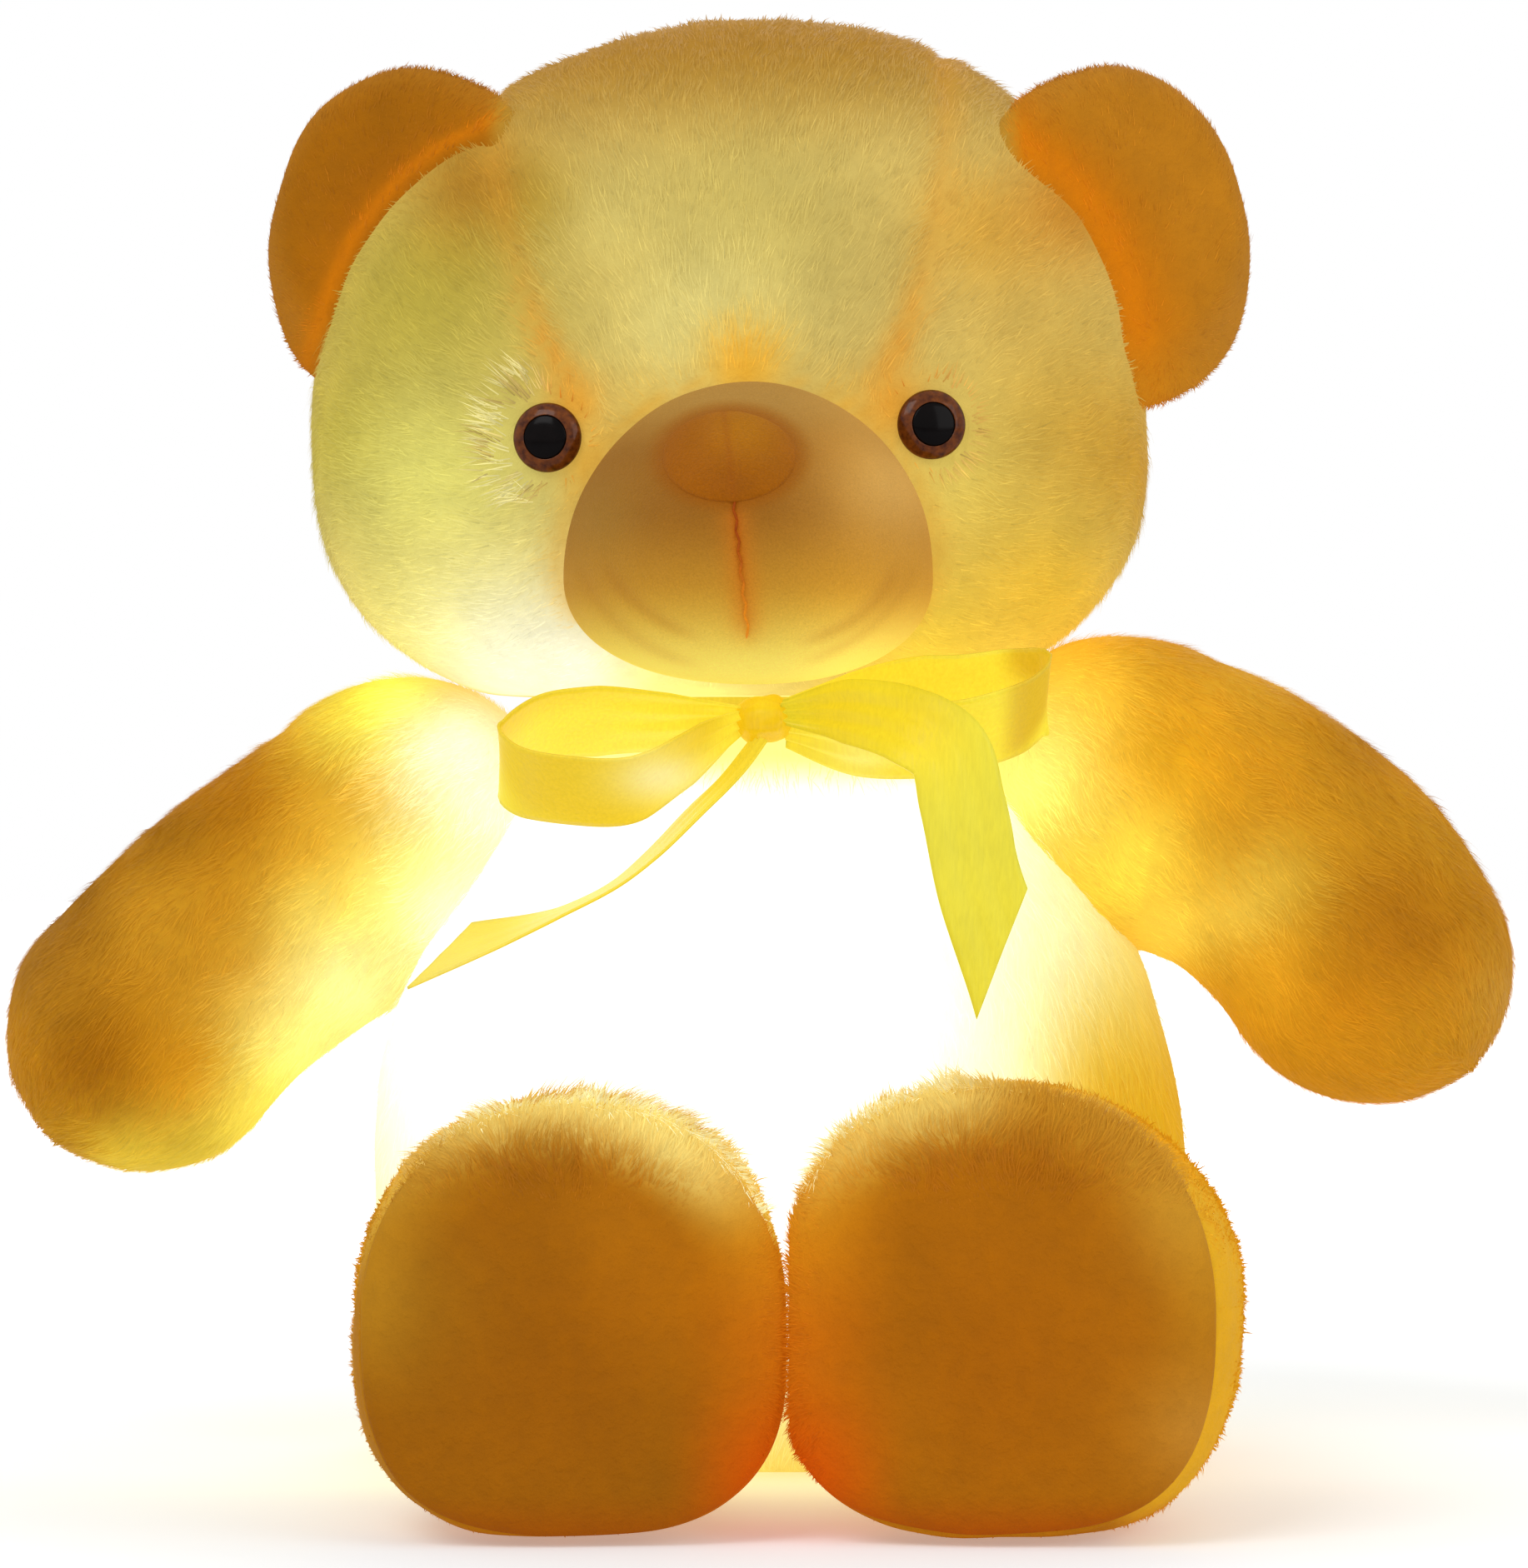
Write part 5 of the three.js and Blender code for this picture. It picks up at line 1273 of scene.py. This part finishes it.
def even(points, count):
    """The curve at even distances along it."""
    ways = np.linspace(0, 1, 401)
    fine = curve_at(points, ways)
    run = np.concatenate([[0], np.cumsum(np.linalg.norm(np.diff(fine, axis=0), axis=1))])
    at = np.interp(np.linspace(0, run[-1], count), run, ways)
    return curve_at(points, at), run[-1]


def ribbon(shares, reach, widthways, widths, skew=0.0, skew_share=1.0, gathers=0.0, curl=0.0):
    """A satin ribbon that runs from the knot along its centre line, as a skin, and its length."""
    centre, length = even(KNOT + np.array(shares) * reach, RIBBON_STEPS)
    ways = np.linspace(0, 1, RIBBON_STEPS)
    facing = curve_at(widthways, ways)
    tangent = unit(np.gradient(centre, axis=0))
    across = unit(facing - (facing * tangent).sum(1, keepdims=True) * tangent)
    normal = np.cross(tangent, across)
    share = np.interp(ways * (len(widths) - 1), np.arange(len(widths)), widths)
    lag = skew / 2 * np.maximum(0, (ways - 1 + skew_share) / skew_share)
    rows = []
    for face in SIDES:
        for lane in np.linspace(-1, 1, RIBBON_LANES)[::face]:
            thick = FACE_HALF + EDGE_BEAD * abs(lane) ** 12
            fold = gathers * (1 - share) * math.cos(3.2 * math.pi * lane) + curl * (lane**2 - 0.4)
            rows.append(
                centre + across * (lane * share * RIBBON_WIDTH / 2)[:, None]
                + normal * (face * thick + fold)[:, None] + tangent * (lane * lag)[:, None]
            )
    return Skin(np.stack(rows, 1)), length


def satin_paint(base, *patches):
    return lambda p: painted(p, base, patches, grain=0.02)


def right_loop_paint(p):
    # A painted highlight on the right loop, and darker painted shade on its outside
    pale = np.exp(-((p[:, 0] + 20) / 11) ** 2 - ((p[:, 2] - 141) / 6) ** 2)
    return mixed(
        satin_paint(SATIN_LIT_INSIDE)(p),
        SATIN_SHADED_OUTSIDE, rise(p[:, 1], -52, -12),
        (255, 252, 190), 0.9 * pale,
    )


def left_loop_paint(p):
    # Painted highlights inside the left loop, and darker painted shade at its outer end
    inside = satin_paint(SATIN_LIT_INSIDE, (28, 156, 12, (250, 226, 50), 0.7), (20, 147, 7, (255, 248, 130), 0.8))
    return mixed(inside(p), (228, 190, 34), rise(p[:, 0], 46, 6) * rise(p[:, 1], -50, -6))


# For each part of the bow: its centre line and how far that reaches, its widthways directions and its
# widths along the way, how it is skewed, gathered and curled, and its paint, with painted light, shade and
# highlights
BOW = {
    "loop_right": (
        RIGHT_LOOP, [53, 21, 17.5], [(0, -0.6, 0.8), (0, -0.75, 0.66), (0.1, -0.75, 0.66), (0, -0.6, 0.8)],
        LOOP_WIDTHS, dict(gathers=1.1), right_loop_paint,
    ),
    "loop_left": (
        LEFT_LOOP, [57, 14, 20], [(0, -0.5, 0.86), (0, -0.6, 0.8), (0.1, -0.7, 0.7), (0, -0.6, 0.8)],
        LOOP_WIDTHS, dict(gathers=1.1), left_loop_paint,
    ),
    "tail_left": (
        LEFT_TAIL, [47.5, 23, 47],
        [(0, 0, 1), (0.1, 0, 1), (0.6, 0.1, 0.7), (0.95, 0.1, 0.25), (1, 0.1, 0.2), (1, 0.1, 0.2)],
        [0.25, 0.65, 0.82, 0.86, 0.88, 0.88], dict(skew=-22, skew_share=0.4, gathers=0.9, curl=0.5),
        satin_paint((232, 222, 60), (30, 152, 12, (250, 220, 32), 0.8), (14, 154, 10, (250, 216, 26), 0.7)),
    ),
    "tail_right": (
        RIGHT_TAIL, [65, 15, 47.5], [(0.5, -0.8, 0.2), (0.2, -1, 0), (0, -1, -0.08), (0, -1, -0.5)],
        [0.35, 0.8, 0.95, 0.95, 0.95, 0.95], dict(skew=14, skew_share=0.3, gathers=0.9),
        satin_paint((246, 222, 60), (-62, 100, 14, (244, 226, 120), 0.6)),
    ),
}


# Pieces

def settle(obj, look, body, nodes=()):
    """Gives a piece its look and hides any solids that it stands for. Its body is the one that it rides; a
    piece given two bodies keeps its place in the world.
    """
    obj.data.materials.append(look)
    if nodes:
        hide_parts(*nodes)
    if isinstance(body, str):
        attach(obj, body)
    else:
        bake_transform(obj)
    return obj


def cover(name, skin, coat, look, body, node):
    """A skin that stands for one solid. Its coat: its paint and the shares it reflects and gives off."""
    obj = skin.make(name)
    paint, matter, glow = coat
    p = skin.points
    dress(obj, paint(p), read(matter, p), read(glow, p))
    return settle(obj, look, body, [node])


def build_torso():
    skin = torso_skin()
    coat = (torso_paint, torso_matter, torso_glow)
    look = backing_look("torso_backing", (1, 1, 0.25))
    cover("torso_skin", skin, coat, look, "torso", "torso")

    def keep(p, n):
        hidden = np.zeros(len(p), bool)
        for side in SIDES:
            hip = HIP[side]
            hidden |= np.linalg.norm(p - SHOULDER[side], axis=1) < SHOULDER_RADIUS - 1
            hidden |= np.linalg.norm(p - hip, axis=1) < HIP_RADIUS - 1
            hidden |= (np.hypot(p[:, 0] - hip[0], p[:, 2] - hip[2]) < HIP_RADIUS) & (p[:, 1] < hip[1])
        return ~hidden & (p[:, 2] > 1.5) & (p[:, 2] < SHOULDER_LEVEL) & (zip_distance(p) > 0.5)

    grow(
        "torso_fur_strands", skin, coat, "torso", count=50000, seed=21, flow=along((0, 0, -1)),
        length=lambda p: 6 * (0.45 + 0.55 * eased(zip_distance(p) / 9)), lean=70, keep=keep, contrast=0.02,
    )


EYE_CLEARING = 7.6


def build_head():
    skin = head_skin()
    coat = (head_paint, head_matter, head_glow)
    cover("head_skin", skin, coat, backing_look("head_backing"), "head", "head")

    def keep(p, n):
        clear = (in_muzzle(p, 0.5) > 1) & (eye_distance(p) > EYE_CLEARING)
        return clear & (p[:, 2] > NECK_TOP + 1.5) & ~in_ear(p, -0.5)

    def length(p):
        near_eye = rise(eye_distance(p), 7, 9)
        near_muzzle = rise(in_muzzle(p, 0.5), 1, 0.25)
        low = rise(p[:, 2], NECK_TOP, 16)
        return 5.0 * (0.55 + 0.45 * near_eye) * (0.6 + 0.4 * near_muzzle) * (0.45 + 0.55 * low)

    grow(
        "head_fur_strands", skin, coat, "head", count=96000, seed=31, flow=head_flow,
        length=length, lean=75, keep=keep, contrast=0.03,
    )

    def outer(p):
        """From 0 at an eye's inner side to 1 at its outer side."""
        side = np.where(p[:, 0] > HEAD_CENTRE[0], 1, -1)
        beside = side * (p[:, 0] - np.where(side > 0, EYES[1][0], EYES[-1][0]))
        return rise(beside, -3, 7) * np.where(side < 0, 1.0, 0.35)

    def tuft_keep(p, n):
        near = (eye_distance(p) > EYE_CLEARING) & (eye_distance(p) < 8 + 6 * outer(p))
        return (p[:, 1] < -20) & near & (in_muzzle(p, 0.5) > 1.04)

    def tuft_paint(p):
        light = rise(wander(p, 2.2, 4.4), -0.5, 0.5)
        low = rise(p[:, 2], EYES[1][2] + 6, -10)
        # Painted light and shade round the eyes: orange painted shade on the inner side, whitish painted
        # highlights on the outer side, and painted shade between those tufts
        return mixed(
            head_paint(p),
            (214, 118, 22), (0.75 - 0.35 * low) * (1 - outer(p)),
            (250, 240, 178), 0.6 * outer(p),
            (150, 110, 34), 0.5 * (1 - light) * outer(p),
        )

    grow(
        "eye_tuft_strands", skin, (tuft_paint, head_matter, head_glow), "head", count=90000,
        seed=35, flow=head_flow, length=lambda p: 3.4 + 3.6 * outer(p), lean=68, keep=tuft_keep, spread=0.7,
        contrast=0.06,
    )


def build_ears():
    for side in SIDES:
        ear = f"ear_{SIDE_NAME[side]}"
        skin = ear_skin(side)
        coat = (ear_paint(side), 0.58, 0.44)
        cover(f"{ear}_skin", skin, coat, backing_look(f"{ear}_backing"), "head", ear)
        root = ear_centre(side) - from_ear(np.array([0, 0, 1.0]), side) * 26
        grow(
            f"{ear}_fur_strands", skin, coat, "head", count=18000, seed=41 + side,
            flow=lambda p: unit(p - root), length=3.0, lean=77, keep=lambda p, n: in_head(p, 0.5) > 1,
        )


def build_muzzle():
    cover(
        "muzzle_skin", muzzle_skin(), (muzzle_paint, 0.6, muzzle_glow), pile_look("muzzle_pile_look"),
        "head", "muzzle",
    )
    cover(
        "nose_pad", nose_skin(), (nose_paint, 0.6, 0.42), pile_look("nose_pile_look", 0.84, 1.1),
        "head", "nose_patch",
    )
    thread, places = mouth_thread()
    # The thread's dark red-brown, with painted glow turning the lower stitches orange
    dark = np.tile([160.0, 70, 8], (len(places), 1))
    dress(thread, mixed(dark, (236, 146, 30), rise(places[:, 2], 190, -20)), 0.6, 0.4)
    look = Look("mouth_thread_look", Specular_IOR_Level=0.1)
    twist = look.noise(1800, 2, 0.5, look.place((1, 1, 0.5)))
    look.rough(look.span(twist, 0.5, 0.75))
    look.bump(twist, 0.0002)
    settle(thread, lit(look, look.span(twist, 0.85, 1.1)), "head", ["mouth_stitch"])


def turned(name, profile, place, turn):
    """A turned shape along -Y, from radius and outward height, at an eye."""
    angle = angles(72)
    rings = np.array([
        np.stack([r * np.cos(angle), np.full(72, -h), r * np.sin(angle)], -1) for r, h in profile
    ])
    return Skin(turned_about_z(rings, turn) + place).make(name)


IRIS_RADIUS, PUPIL_RADIUS, EYE_EDGE, EYE_DOME = 7, 4.35, 1.2, 2.6


def dome(radius):
    return EYE_EDGE + EYE_DOME * math.sqrt(1 - min(1, radius / IRIS_RADIUS) ** 2)


def build_eyes():
    iris = Look("iris_plastic_look", Coat_Weight=0.15, Coat_Roughness=0.08, Specular_IOR_Level=0.1)
    rays = iris.noise(700, 3, 0.6)
    iris.colour(iris.ramp(rays, [(0.3, (66, 26, 6)), (0.7, (118, 60, 14))]))
    iris.rough(iris.span(rays, 0.12, 0.2))
    pupil = Look("pupil_plastic_look", Coat_Weight=0.02, Coat_Roughness=0.1, Specular_IOR_Level=0.06)
    cloud = pupil.noise(300, 2)
    pupil.colour(pupil.ramp(cloud, [(0.3, (5, 2, 2)), (0.7, (10, 5, 5))]))
    pupil.rough(pupil.span(cloud, 0.1, 0.2))
    for side, place in EYES.items():
        name = SIDE_NAME[side]
        inner = PUPIL_RADIUS + 0.12
        ring = [(inner, 0.3), (6.7, 0.3), (6.95, 0.6), (IRIS_RADIUS, 1.0)]
        ring += [(r, dome(r)) for r in np.linspace(6.99, inner, 18)]
        lathe = turned(f"eye_iris_{name}_ring", ring + [(inner, 0.6)], place, side * EYE_TURN)
        settle(lathe, iris.material, "head", [f"eye_iris_{name}"])
        core = [(0.4, -13), (2.2, -12.8), (2.2, -1), (6.6, -1), (6.6, 0), (PUPIL_RADIUS, 0.1)]
        radii = np.linspace(PUPIL_RADIUS, 0.1, 18)
        core += [(r, dome(r) - 0.05 - 0.1 * (r / PUPIL_RADIUS) ** 8) for r in radii]
        stud = turned(f"eye_pupil_{name}_stud", core, place, side * EYE_TURN)
        settle(stud, pupil.material, "head", [f"eye_pupil_{name}"])


def build_arms():
    for side in SIDES:
        arm = f"arm_{SIDE_NAME[side]}"
        skin, shoulder = arm_skin(side), SHOULDER[side]
        coat = (arm_paint(side), limb_matter, limb_glow)
        bend = ("torso", arm, *((side * x, 0, shoulder[2] * MM) for x in ARM_BEND))
        cover(f"{arm}_skin", skin, coat, backing_look(f"{arm}_backing"), bend, arm)
        grow(
            f"{arm}_fur_strands", skin, coat, bend, count=44000, seed=51 + side,
            flow=along(unit(paw_of(side) - shoulder) + np.array([0, 0, -0.25])), length=5.2, lean=75,
            keep=lambda p, n: (in_head(p, -1) > 1) & (np.abs(p[:, 0]) > 46),
            clump=6.0, spread=0.6, contrast=0.03,
        )


def build_legs():
    for side in SIDES:
        name = SIDE_NAME[side]
        leg = f"leg_{name}"
        hip, sole = leg_ends(side)[1:]
        outward = unit(sole - hip)
        bend = ("torso", leg, *(tuple((hip + outward * reach) * MM) for reach in LEG_BEND))
        skin, paint = leg_skin(side), leg_paint(side)
        coat = (paint, limb_matter, limb_glow)
        look = backing_look(f"{leg}_backing", (1, 0.25, 1))
        cover(f"{leg}_skin", skin, coat, look, bend, leg)

        def past(p):
            """How far a place is beyond the leg's end, below zero on the leg."""
            return (p - hip) @ outward - LEG_LENGTH

        def between(p):
            return np.abs(p[:, 0] - PARTING)

        def keep(p, n):
            free = (p[:, 1] < -38) & (p[:, 2] > 0.8) & (past(p) < -0.5)
            return free & ((between(p) > 1.6) | (past(p) > -14))

        grow(
            f"{leg}_fur_strands", skin, coat, bend, count=40000, seed=61 + side,
            flow=along(outward), lean=76, keep=keep, clump=6.0, spread=0.5,
            length=lambda p: 5.4 - 3.4 * rise(past(p), -34, 24) * rise(p[:, 2], 64, -16),
        )

        def rim_keep(p, n):
            return (past(p) > -16) & (past(p) < 0.2) & (p[:, 2] > 40) & (between(p) > 1.5)

        def rim_paint(p):
            # Painted light on the fringe: gold towards its edge, and whitish where the torso's light shows
            # through at the top
            edge = rise(past(p), -13, 10) * rise(p[:, 2], 44, 22)
            return mixed(paint(p), (204, 150, 44), 0.9 * edge, (255, 251, 196), edge * top_light(p, side))

        def rim_flow(p):
            parted = np.where(side < 0, np.clip((p[:, 0] - NOTCH) / 5, -1, 1), 0.4 * wander(p, 11, 5.0))
            high = rise(p[:, 2], 56, 16)
            return outward + 0.6 * (high * parted)[:, None] * np.array([1.0, 0, 0])

        def rim_length(p):
            high = rise(p[:, 2], 46, 26)
            notch = np.where(side < 0, hump(p[:, 0] - NOTCH, 2.6), 0)
            full = 1.0 + high * (6.4 * (1 - 0.75 * notch) + 3.0 * wander(p, 6, 2.2))
            return full * (0.5 + 0.5 * rise(past(p), -16, 9)) * (0.4 + 0.6 * top_light(p, side))

        grow(
            f"{leg}_fringe_strands", skin, (rim_paint, 0.5, 0.66), leg, count=80000,
            seed=71 + side, flow=rim_flow, length=rim_length, keep=rim_keep, width=0.3, clump=6.0, spread=0.8,
            lean=lambda p: 86 - 36 * rise(p[:, 2], 52, 22),
        )

        pad, sole_colour = sole_skin(side), sole_paint(side)
        cover(
            f"sole_{name}_skin", pad, (sole_colour, 0.58, 0.44), backing_look(f"sole_{name}_backing"),
            leg, f"sole_{name}",
        )

        def sole_flow(p):
            d = p - sole
            return d - (d @ outward)[:, None] * outward + np.array([0, 0, 6.0])

        def sole_length(p):
            return 1.0 + 3.9 * rise(p[:, 2], 58, 16) + 2.2 * hump(between(p), 6)

        grow(
            f"sole_{name}_fuzz_strands", pad, (sole_colour, 0.58, 0.46), leg, count=42000,
            seed=81 + side, flow=sole_flow, length=sole_length, lean=68,
            keep=lambda p, n: ((n @ outward) > -0.3) & (p[:, 2] > 0.8) & (between(p) > 0.1),
            clump=3.5, spread=0.7, contrast=0.025,
        )


def knot_skin():
    """A pleated knot, pinched at its middle."""
    angle = angles(96)
    rings = []
    for share in np.linspace(-0.985, 0.985, 60):
        radius = (1 - abs(share) ** 2.6) ** 0.5
        fine = 0.05 * np.cos(7 * angle + 1.5 * share) * (1 - share**2)
        pleats = 1 + fine + 0.05 * np.cos(3 * angle + 4 * share)
        waist = 1 - 0.10 * math.exp(-(share / 0.3) ** 2)
        rings.append(np.stack([
            np.full(96, KNOT_HALF[0] * share), KNOT_HALF[1] * radius * pleats * waist * np.cos(angle),
            KNOT_HALF[2] * radius * pleats * waist * np.sin(angle),
        ], -1) + KNOT)
    return Skin(np.array(rings))


def collar_band():
    """The ribbon round the neck, a closed band with a rippled outer face."""
    angle = angles(180)
    low, high = COLLAR_LOW + 0.1, COLLAR_HIGH - 0.1
    lanes = [(COLLAR_RADIUS - 0.25, h) for h in np.linspace(low, high, 9)]
    lanes += [(COLLAR_RADIUS + 0.3 + 0.18 * math.sin(2.1 * h), h) for h in np.linspace(high, low, 15)]
    points = np.stack([
        np.stack([radius * np.cos(angle), radius * np.sin(angle), np.full(180, height)], -1)
        for radius, height in lanes
    ], 1)
    i, j = (a.ravel() for a in np.meshgrid(np.arange(180), np.arange(len(lanes)), indexing="ij"))
    next_i, next_j = (i + 1) % 180, (j + 1) % len(lanes)
    here, there = i * len(lanes), next_i * len(lanes)
    quads = np.stack([here + j, there + j, there + next_j, here + next_j], -1)
    points = points.reshape(-1, 3)
    return mesh_object("neck_ribbon_band", points, [quads[:, ::-1]]), points


def build_ribbon():
    satin = satin_look("satin_look")
    # The knot's satin, with a painted highlight at its middle
    knot_paint = satin_paint((248, 206, 22), (0, 156, 3, (255, 228, 50), 0.7))
    cover("bow_knot_fold", knot_skin(), (knot_paint, 0.62, 0.4), satin, "head", "bow_knot")
    collar, points = collar_band()
    dress(collar, satin_paint((244, 222, 70))(points), 0.6, 0.4)
    settle(collar, satin, "head", ["neck_ribbon"])
    for part, (*line, ways, paint) in BOW.items():
        skin, length = ribbon(*line, **ways)
        obj = cover(f"bow_{part}_satin", skin, (paint, 0.62, 0.44), satin, "head", f"bow_{part}")


# Zip tapes: how far beside the middle they start and end, their heights, and their two faces
TAPE_NEAR, TAPE_FAR, TAPE_LOW, TAPE_HIGH, TAPE_BACK, TAPE_FACE = 3.3, 10.9, 38, 106, 53.3, 54.0


def build_zip():
    """The tapes are woven strips with a sewn edge. The teeth, stops, slider and pull keep their solids."""
    cloth = woven("zip_tape_look", (206, 164, 84))
    heights = np.linspace(TAPE_LOW, TAPE_HIGH, 60)
    faces = []
    for lane in np.linspace(0, 1, 9):
        sewn = 0.25 * math.exp(-((lane - 0.8) / 0.08) ** 2)
        faces.append((lane, TAPE_FACE - sewn + 0.12 * np.sin(heights / 3.1 + lane) * lane))
    faces += [(lane, np.full(60, TAPE_BACK)) for lane in np.linspace(1, 0, 9)]
    for side in SIDES:
        name = f"zip_tape_{SIDE_NAME[side]}"
        rings = np.stack([
            np.stack([np.full(60, side * (TAPE_NEAR + (TAPE_FAR - TAPE_NEAR) * lane)), depth, heights], -1)
            for lane, depth in faces
        ], 1)
        obj = Skin(rings).make(f"{name}_cloth")
        settle(obj, cloth, "torso", [name])


def finish_nodes():
    """Materials for the solids that stay as they are."""
    white = moulded("white_plastic_look", (232, 229, 221), 0.45)
    brass = metal("zip_brass_look", (206, 168, 92), 0.3)
    steel = metal("steel_look", (190, 192, 195), 0.28)
    looks = {
        "eye_washer_": white, "tube_cap_": white, "battery_case": white, "battery_door": white,
        "zip_teeth_": moulded("zip_teeth_look", (226, 196, 128), 0.4),
        "zip_stop_": brass, "zip_slider": brass, "zip_pull": brass, "contact_plate_": brass,
        "door_screw": steel, "spring_contact_": steel,
        "control_board": moulded("board_green_look", (34, 108, 60), 0.45, 0.05),
        "led_board": moulded("board_white_look", (240, 240, 236), 0.4),
        "power_button": moulded("button_red_look", (178, 40, 32), 0.4),
        "lead_red": moulded("lead_red_look", (176, 26, 24), 0.5),
        "lead_black": moulded("lead_black_look", (26, 26, 27), 0.5),
    }
    wrap = Look("cell_wrap_look", Coat_Weight=0.5, Coat_Roughness=0.2)
    bands = wrap.node("ShaderNodeSeparateXYZ")
    wrap.link(wrap.place(), bands.inputs["Vector"])
    wrap.colour(wrap.ramp(wrap.span(bands.outputs["Z"], 0, 1, 0.028, 0.09), [
        (0.0, (52, 62, 68)), (0.72, (60, 72, 80)), (0.75, (176, 122, 54)), (1.0, (188, 134, 62)),
    ]))
    wrap.rough(wrap.span(wrap.noise(120), 0.25, 0.4))
    looks |= {f"battery_{k}": wrap.material for k in (1, 2, 3)}
    tube = Look("clear_tube_look", Transmission_Weight=0.85, IOR=1.49)
    haze = tube.noise(150, 3)
    tube.colour(tube.ramp(haze, [(0.3, (236, 240, 234)), (0.7, (250, 252, 248))]))
    tube.rough(tube.span(haze, 0.12, 0.3))
    looks["light_tube"] = tube.material
    lens = Look("led_lens_look", Emission_Strength=1.5)
    spot = lens.noise(500, 2)
    lens.colour(lens.ramp(spot, [(0.3, (255, 236, 176)), (0.7, (255, 246, 206))]))
    light = lens.ramp(spot, [(0.3, (255, 230, 160)), (0.7, (255, 244, 200))])
    lens.link(light, lens.shader.inputs["Emission Color"])
    lens.rough(lens.span(spot, 0.2, 0.35))
    lens.material.cycles.emission_sampling = "NONE"
    looks |= {f"led_{k}": lens.material for k in range(1, 7)}
    for name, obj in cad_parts.items():
        for key, look in looks.items():
            if name.startswith(key):
                obj.data.materials.clear()
                obj.data.materials.append(look)


FLOOR_REACH = 6.0
AIM = np.array([0, 0, 0.13])
STUDIO_LAMPS = {
    "key": ((-0.9, -1.5, 1.5), 1.1, 15),
    "fill": ((1.3, -1.2, 0.7), 1.2, 7),
    "back": ((0.3, 1.6, 1.3), 1.2, 9),
}


def build_floor():
    """A white floor that shows the bear's shadow near it and is lit up to plain white further off."""
    mesh = bpy.data.meshes.new("floor")
    corners = [(x * FLOOR_REACH, y * FLOOR_REACH, 0) for x, y in ((-1, -1), (1, -1), (1, 1), (-1, 1))]
    mesh.from_pydata(corners, [], [(0, 1, 2, 3)])
    floor = bpy.data.objects.new("floor", mesh)
    scene.collection.objects.link(floor)
    look = Look(
        "floor_look", Base_Color=(0.87, 0.9, 0.92, 1), Roughness=0.9, Emission_Color=(1, 1, 1, 1),
        Specular_IOR_Level=0.2,
    )
    rays = look.node("ShaderNodeLightPath")
    away = look.node("ShaderNodeVectorMath")
    away.operation = "LENGTH"
    look.link(look.place(), away.inputs[0])
    seen = look.node("ShaderNodeMath")
    seen.operation = "MULTIPLY"
    look.link(rays.outputs["Is Camera Ray"], seen.inputs[0])
    look.link(look.span(away.outputs["Value"], 0.25, 1, 0.2, 0.75), seen.inputs[1])
    look.link(seen.outputs[0], look.shader.inputs["Emission Strength"])
    mesh.materials.append(look.material)


def build_world():
    """A white room that looks brighter to the camera, in mirrors and through glass than it lights."""
    world = bpy.data.worlds.new("studio")
    scene.world = world
    world.use_nodes = True
    tree = world.node_tree
    background = tree.nodes["Background"]
    background.inputs["Color"].default_value = (1, 1, 1, 1)
    rays = tree.nodes.new("ShaderNodeLightPath")
    seen = rays.outputs["Is Camera Ray"]
    for kind in ("Is Glossy Ray", "Is Transmission Ray"):
        either = tree.nodes.new("ShaderNodeMath")
        either.operation = "MAXIMUM"
        tree.links.new(seen, either.inputs[0])
        tree.links.new(rays.outputs[kind], either.inputs[1])
        seen = either.outputs[0]
    level = tree.nodes.new("ShaderNodeMapRange")
    level.inputs["To Min"].default_value = 0.55
    level.inputs["To Max"].default_value = 1.0
    tree.links.new(seen, level.inputs["Value"])
    tree.links.new(level.outputs["Result"], background.inputs["Strength"])


def build_lamps():
    for name, (place, size, power) in STUDIO_LAMPS.items():
        lamp = bpy.data.lights.new(name, "AREA")
        lamp.size = size
        lamp.energy = power
        obj = bpy.data.objects.new(name, lamp)
        obj.location = place
        aim = AIM - np.array(place)
        yaw = math.atan2(aim[1], aim[0]) - math.pi / 2
        pitch = math.atan2(aim[2], math.hypot(aim[0], aim[1])) + math.pi / 2
        obj.rotation_euler = (pitch, 0, yaw)
        scene.collection.objects.link(obj)


def build_camera():
    lens = bpy.data.cameras.new("camera")
    lens.sensor_fit = "HORIZONTAL"
    lens.sensor_width = SENSOR
    lens.lens = SENSOR * PIXELS_PER_MM * CAMERA_DISTANCE / IMAGE_WIDTH
    lens.clip_start = 0.05
    lens.clip_end = 50
    camera = bpy.data.objects.new("camera", lens)
    camera.location = (0, -CAMERA_DISTANCE * MM, CAMERA_HEIGHT * MM)
    camera.rotation_euler = (math.pi / 2, 0, 0)
    scene.collection.objects.link(camera)
    scene.camera = camera


build_camera()
build_floor()
build_world()
build_lamps()
scene.view_settings.view_transform = "Standard"
build_torso()
build_head()
build_ears()
build_muzzle()
build_eyes()
build_arms()
build_legs()
build_ribbon()
build_zip()
finish_nodes()
bpy.context.view_layer.update()
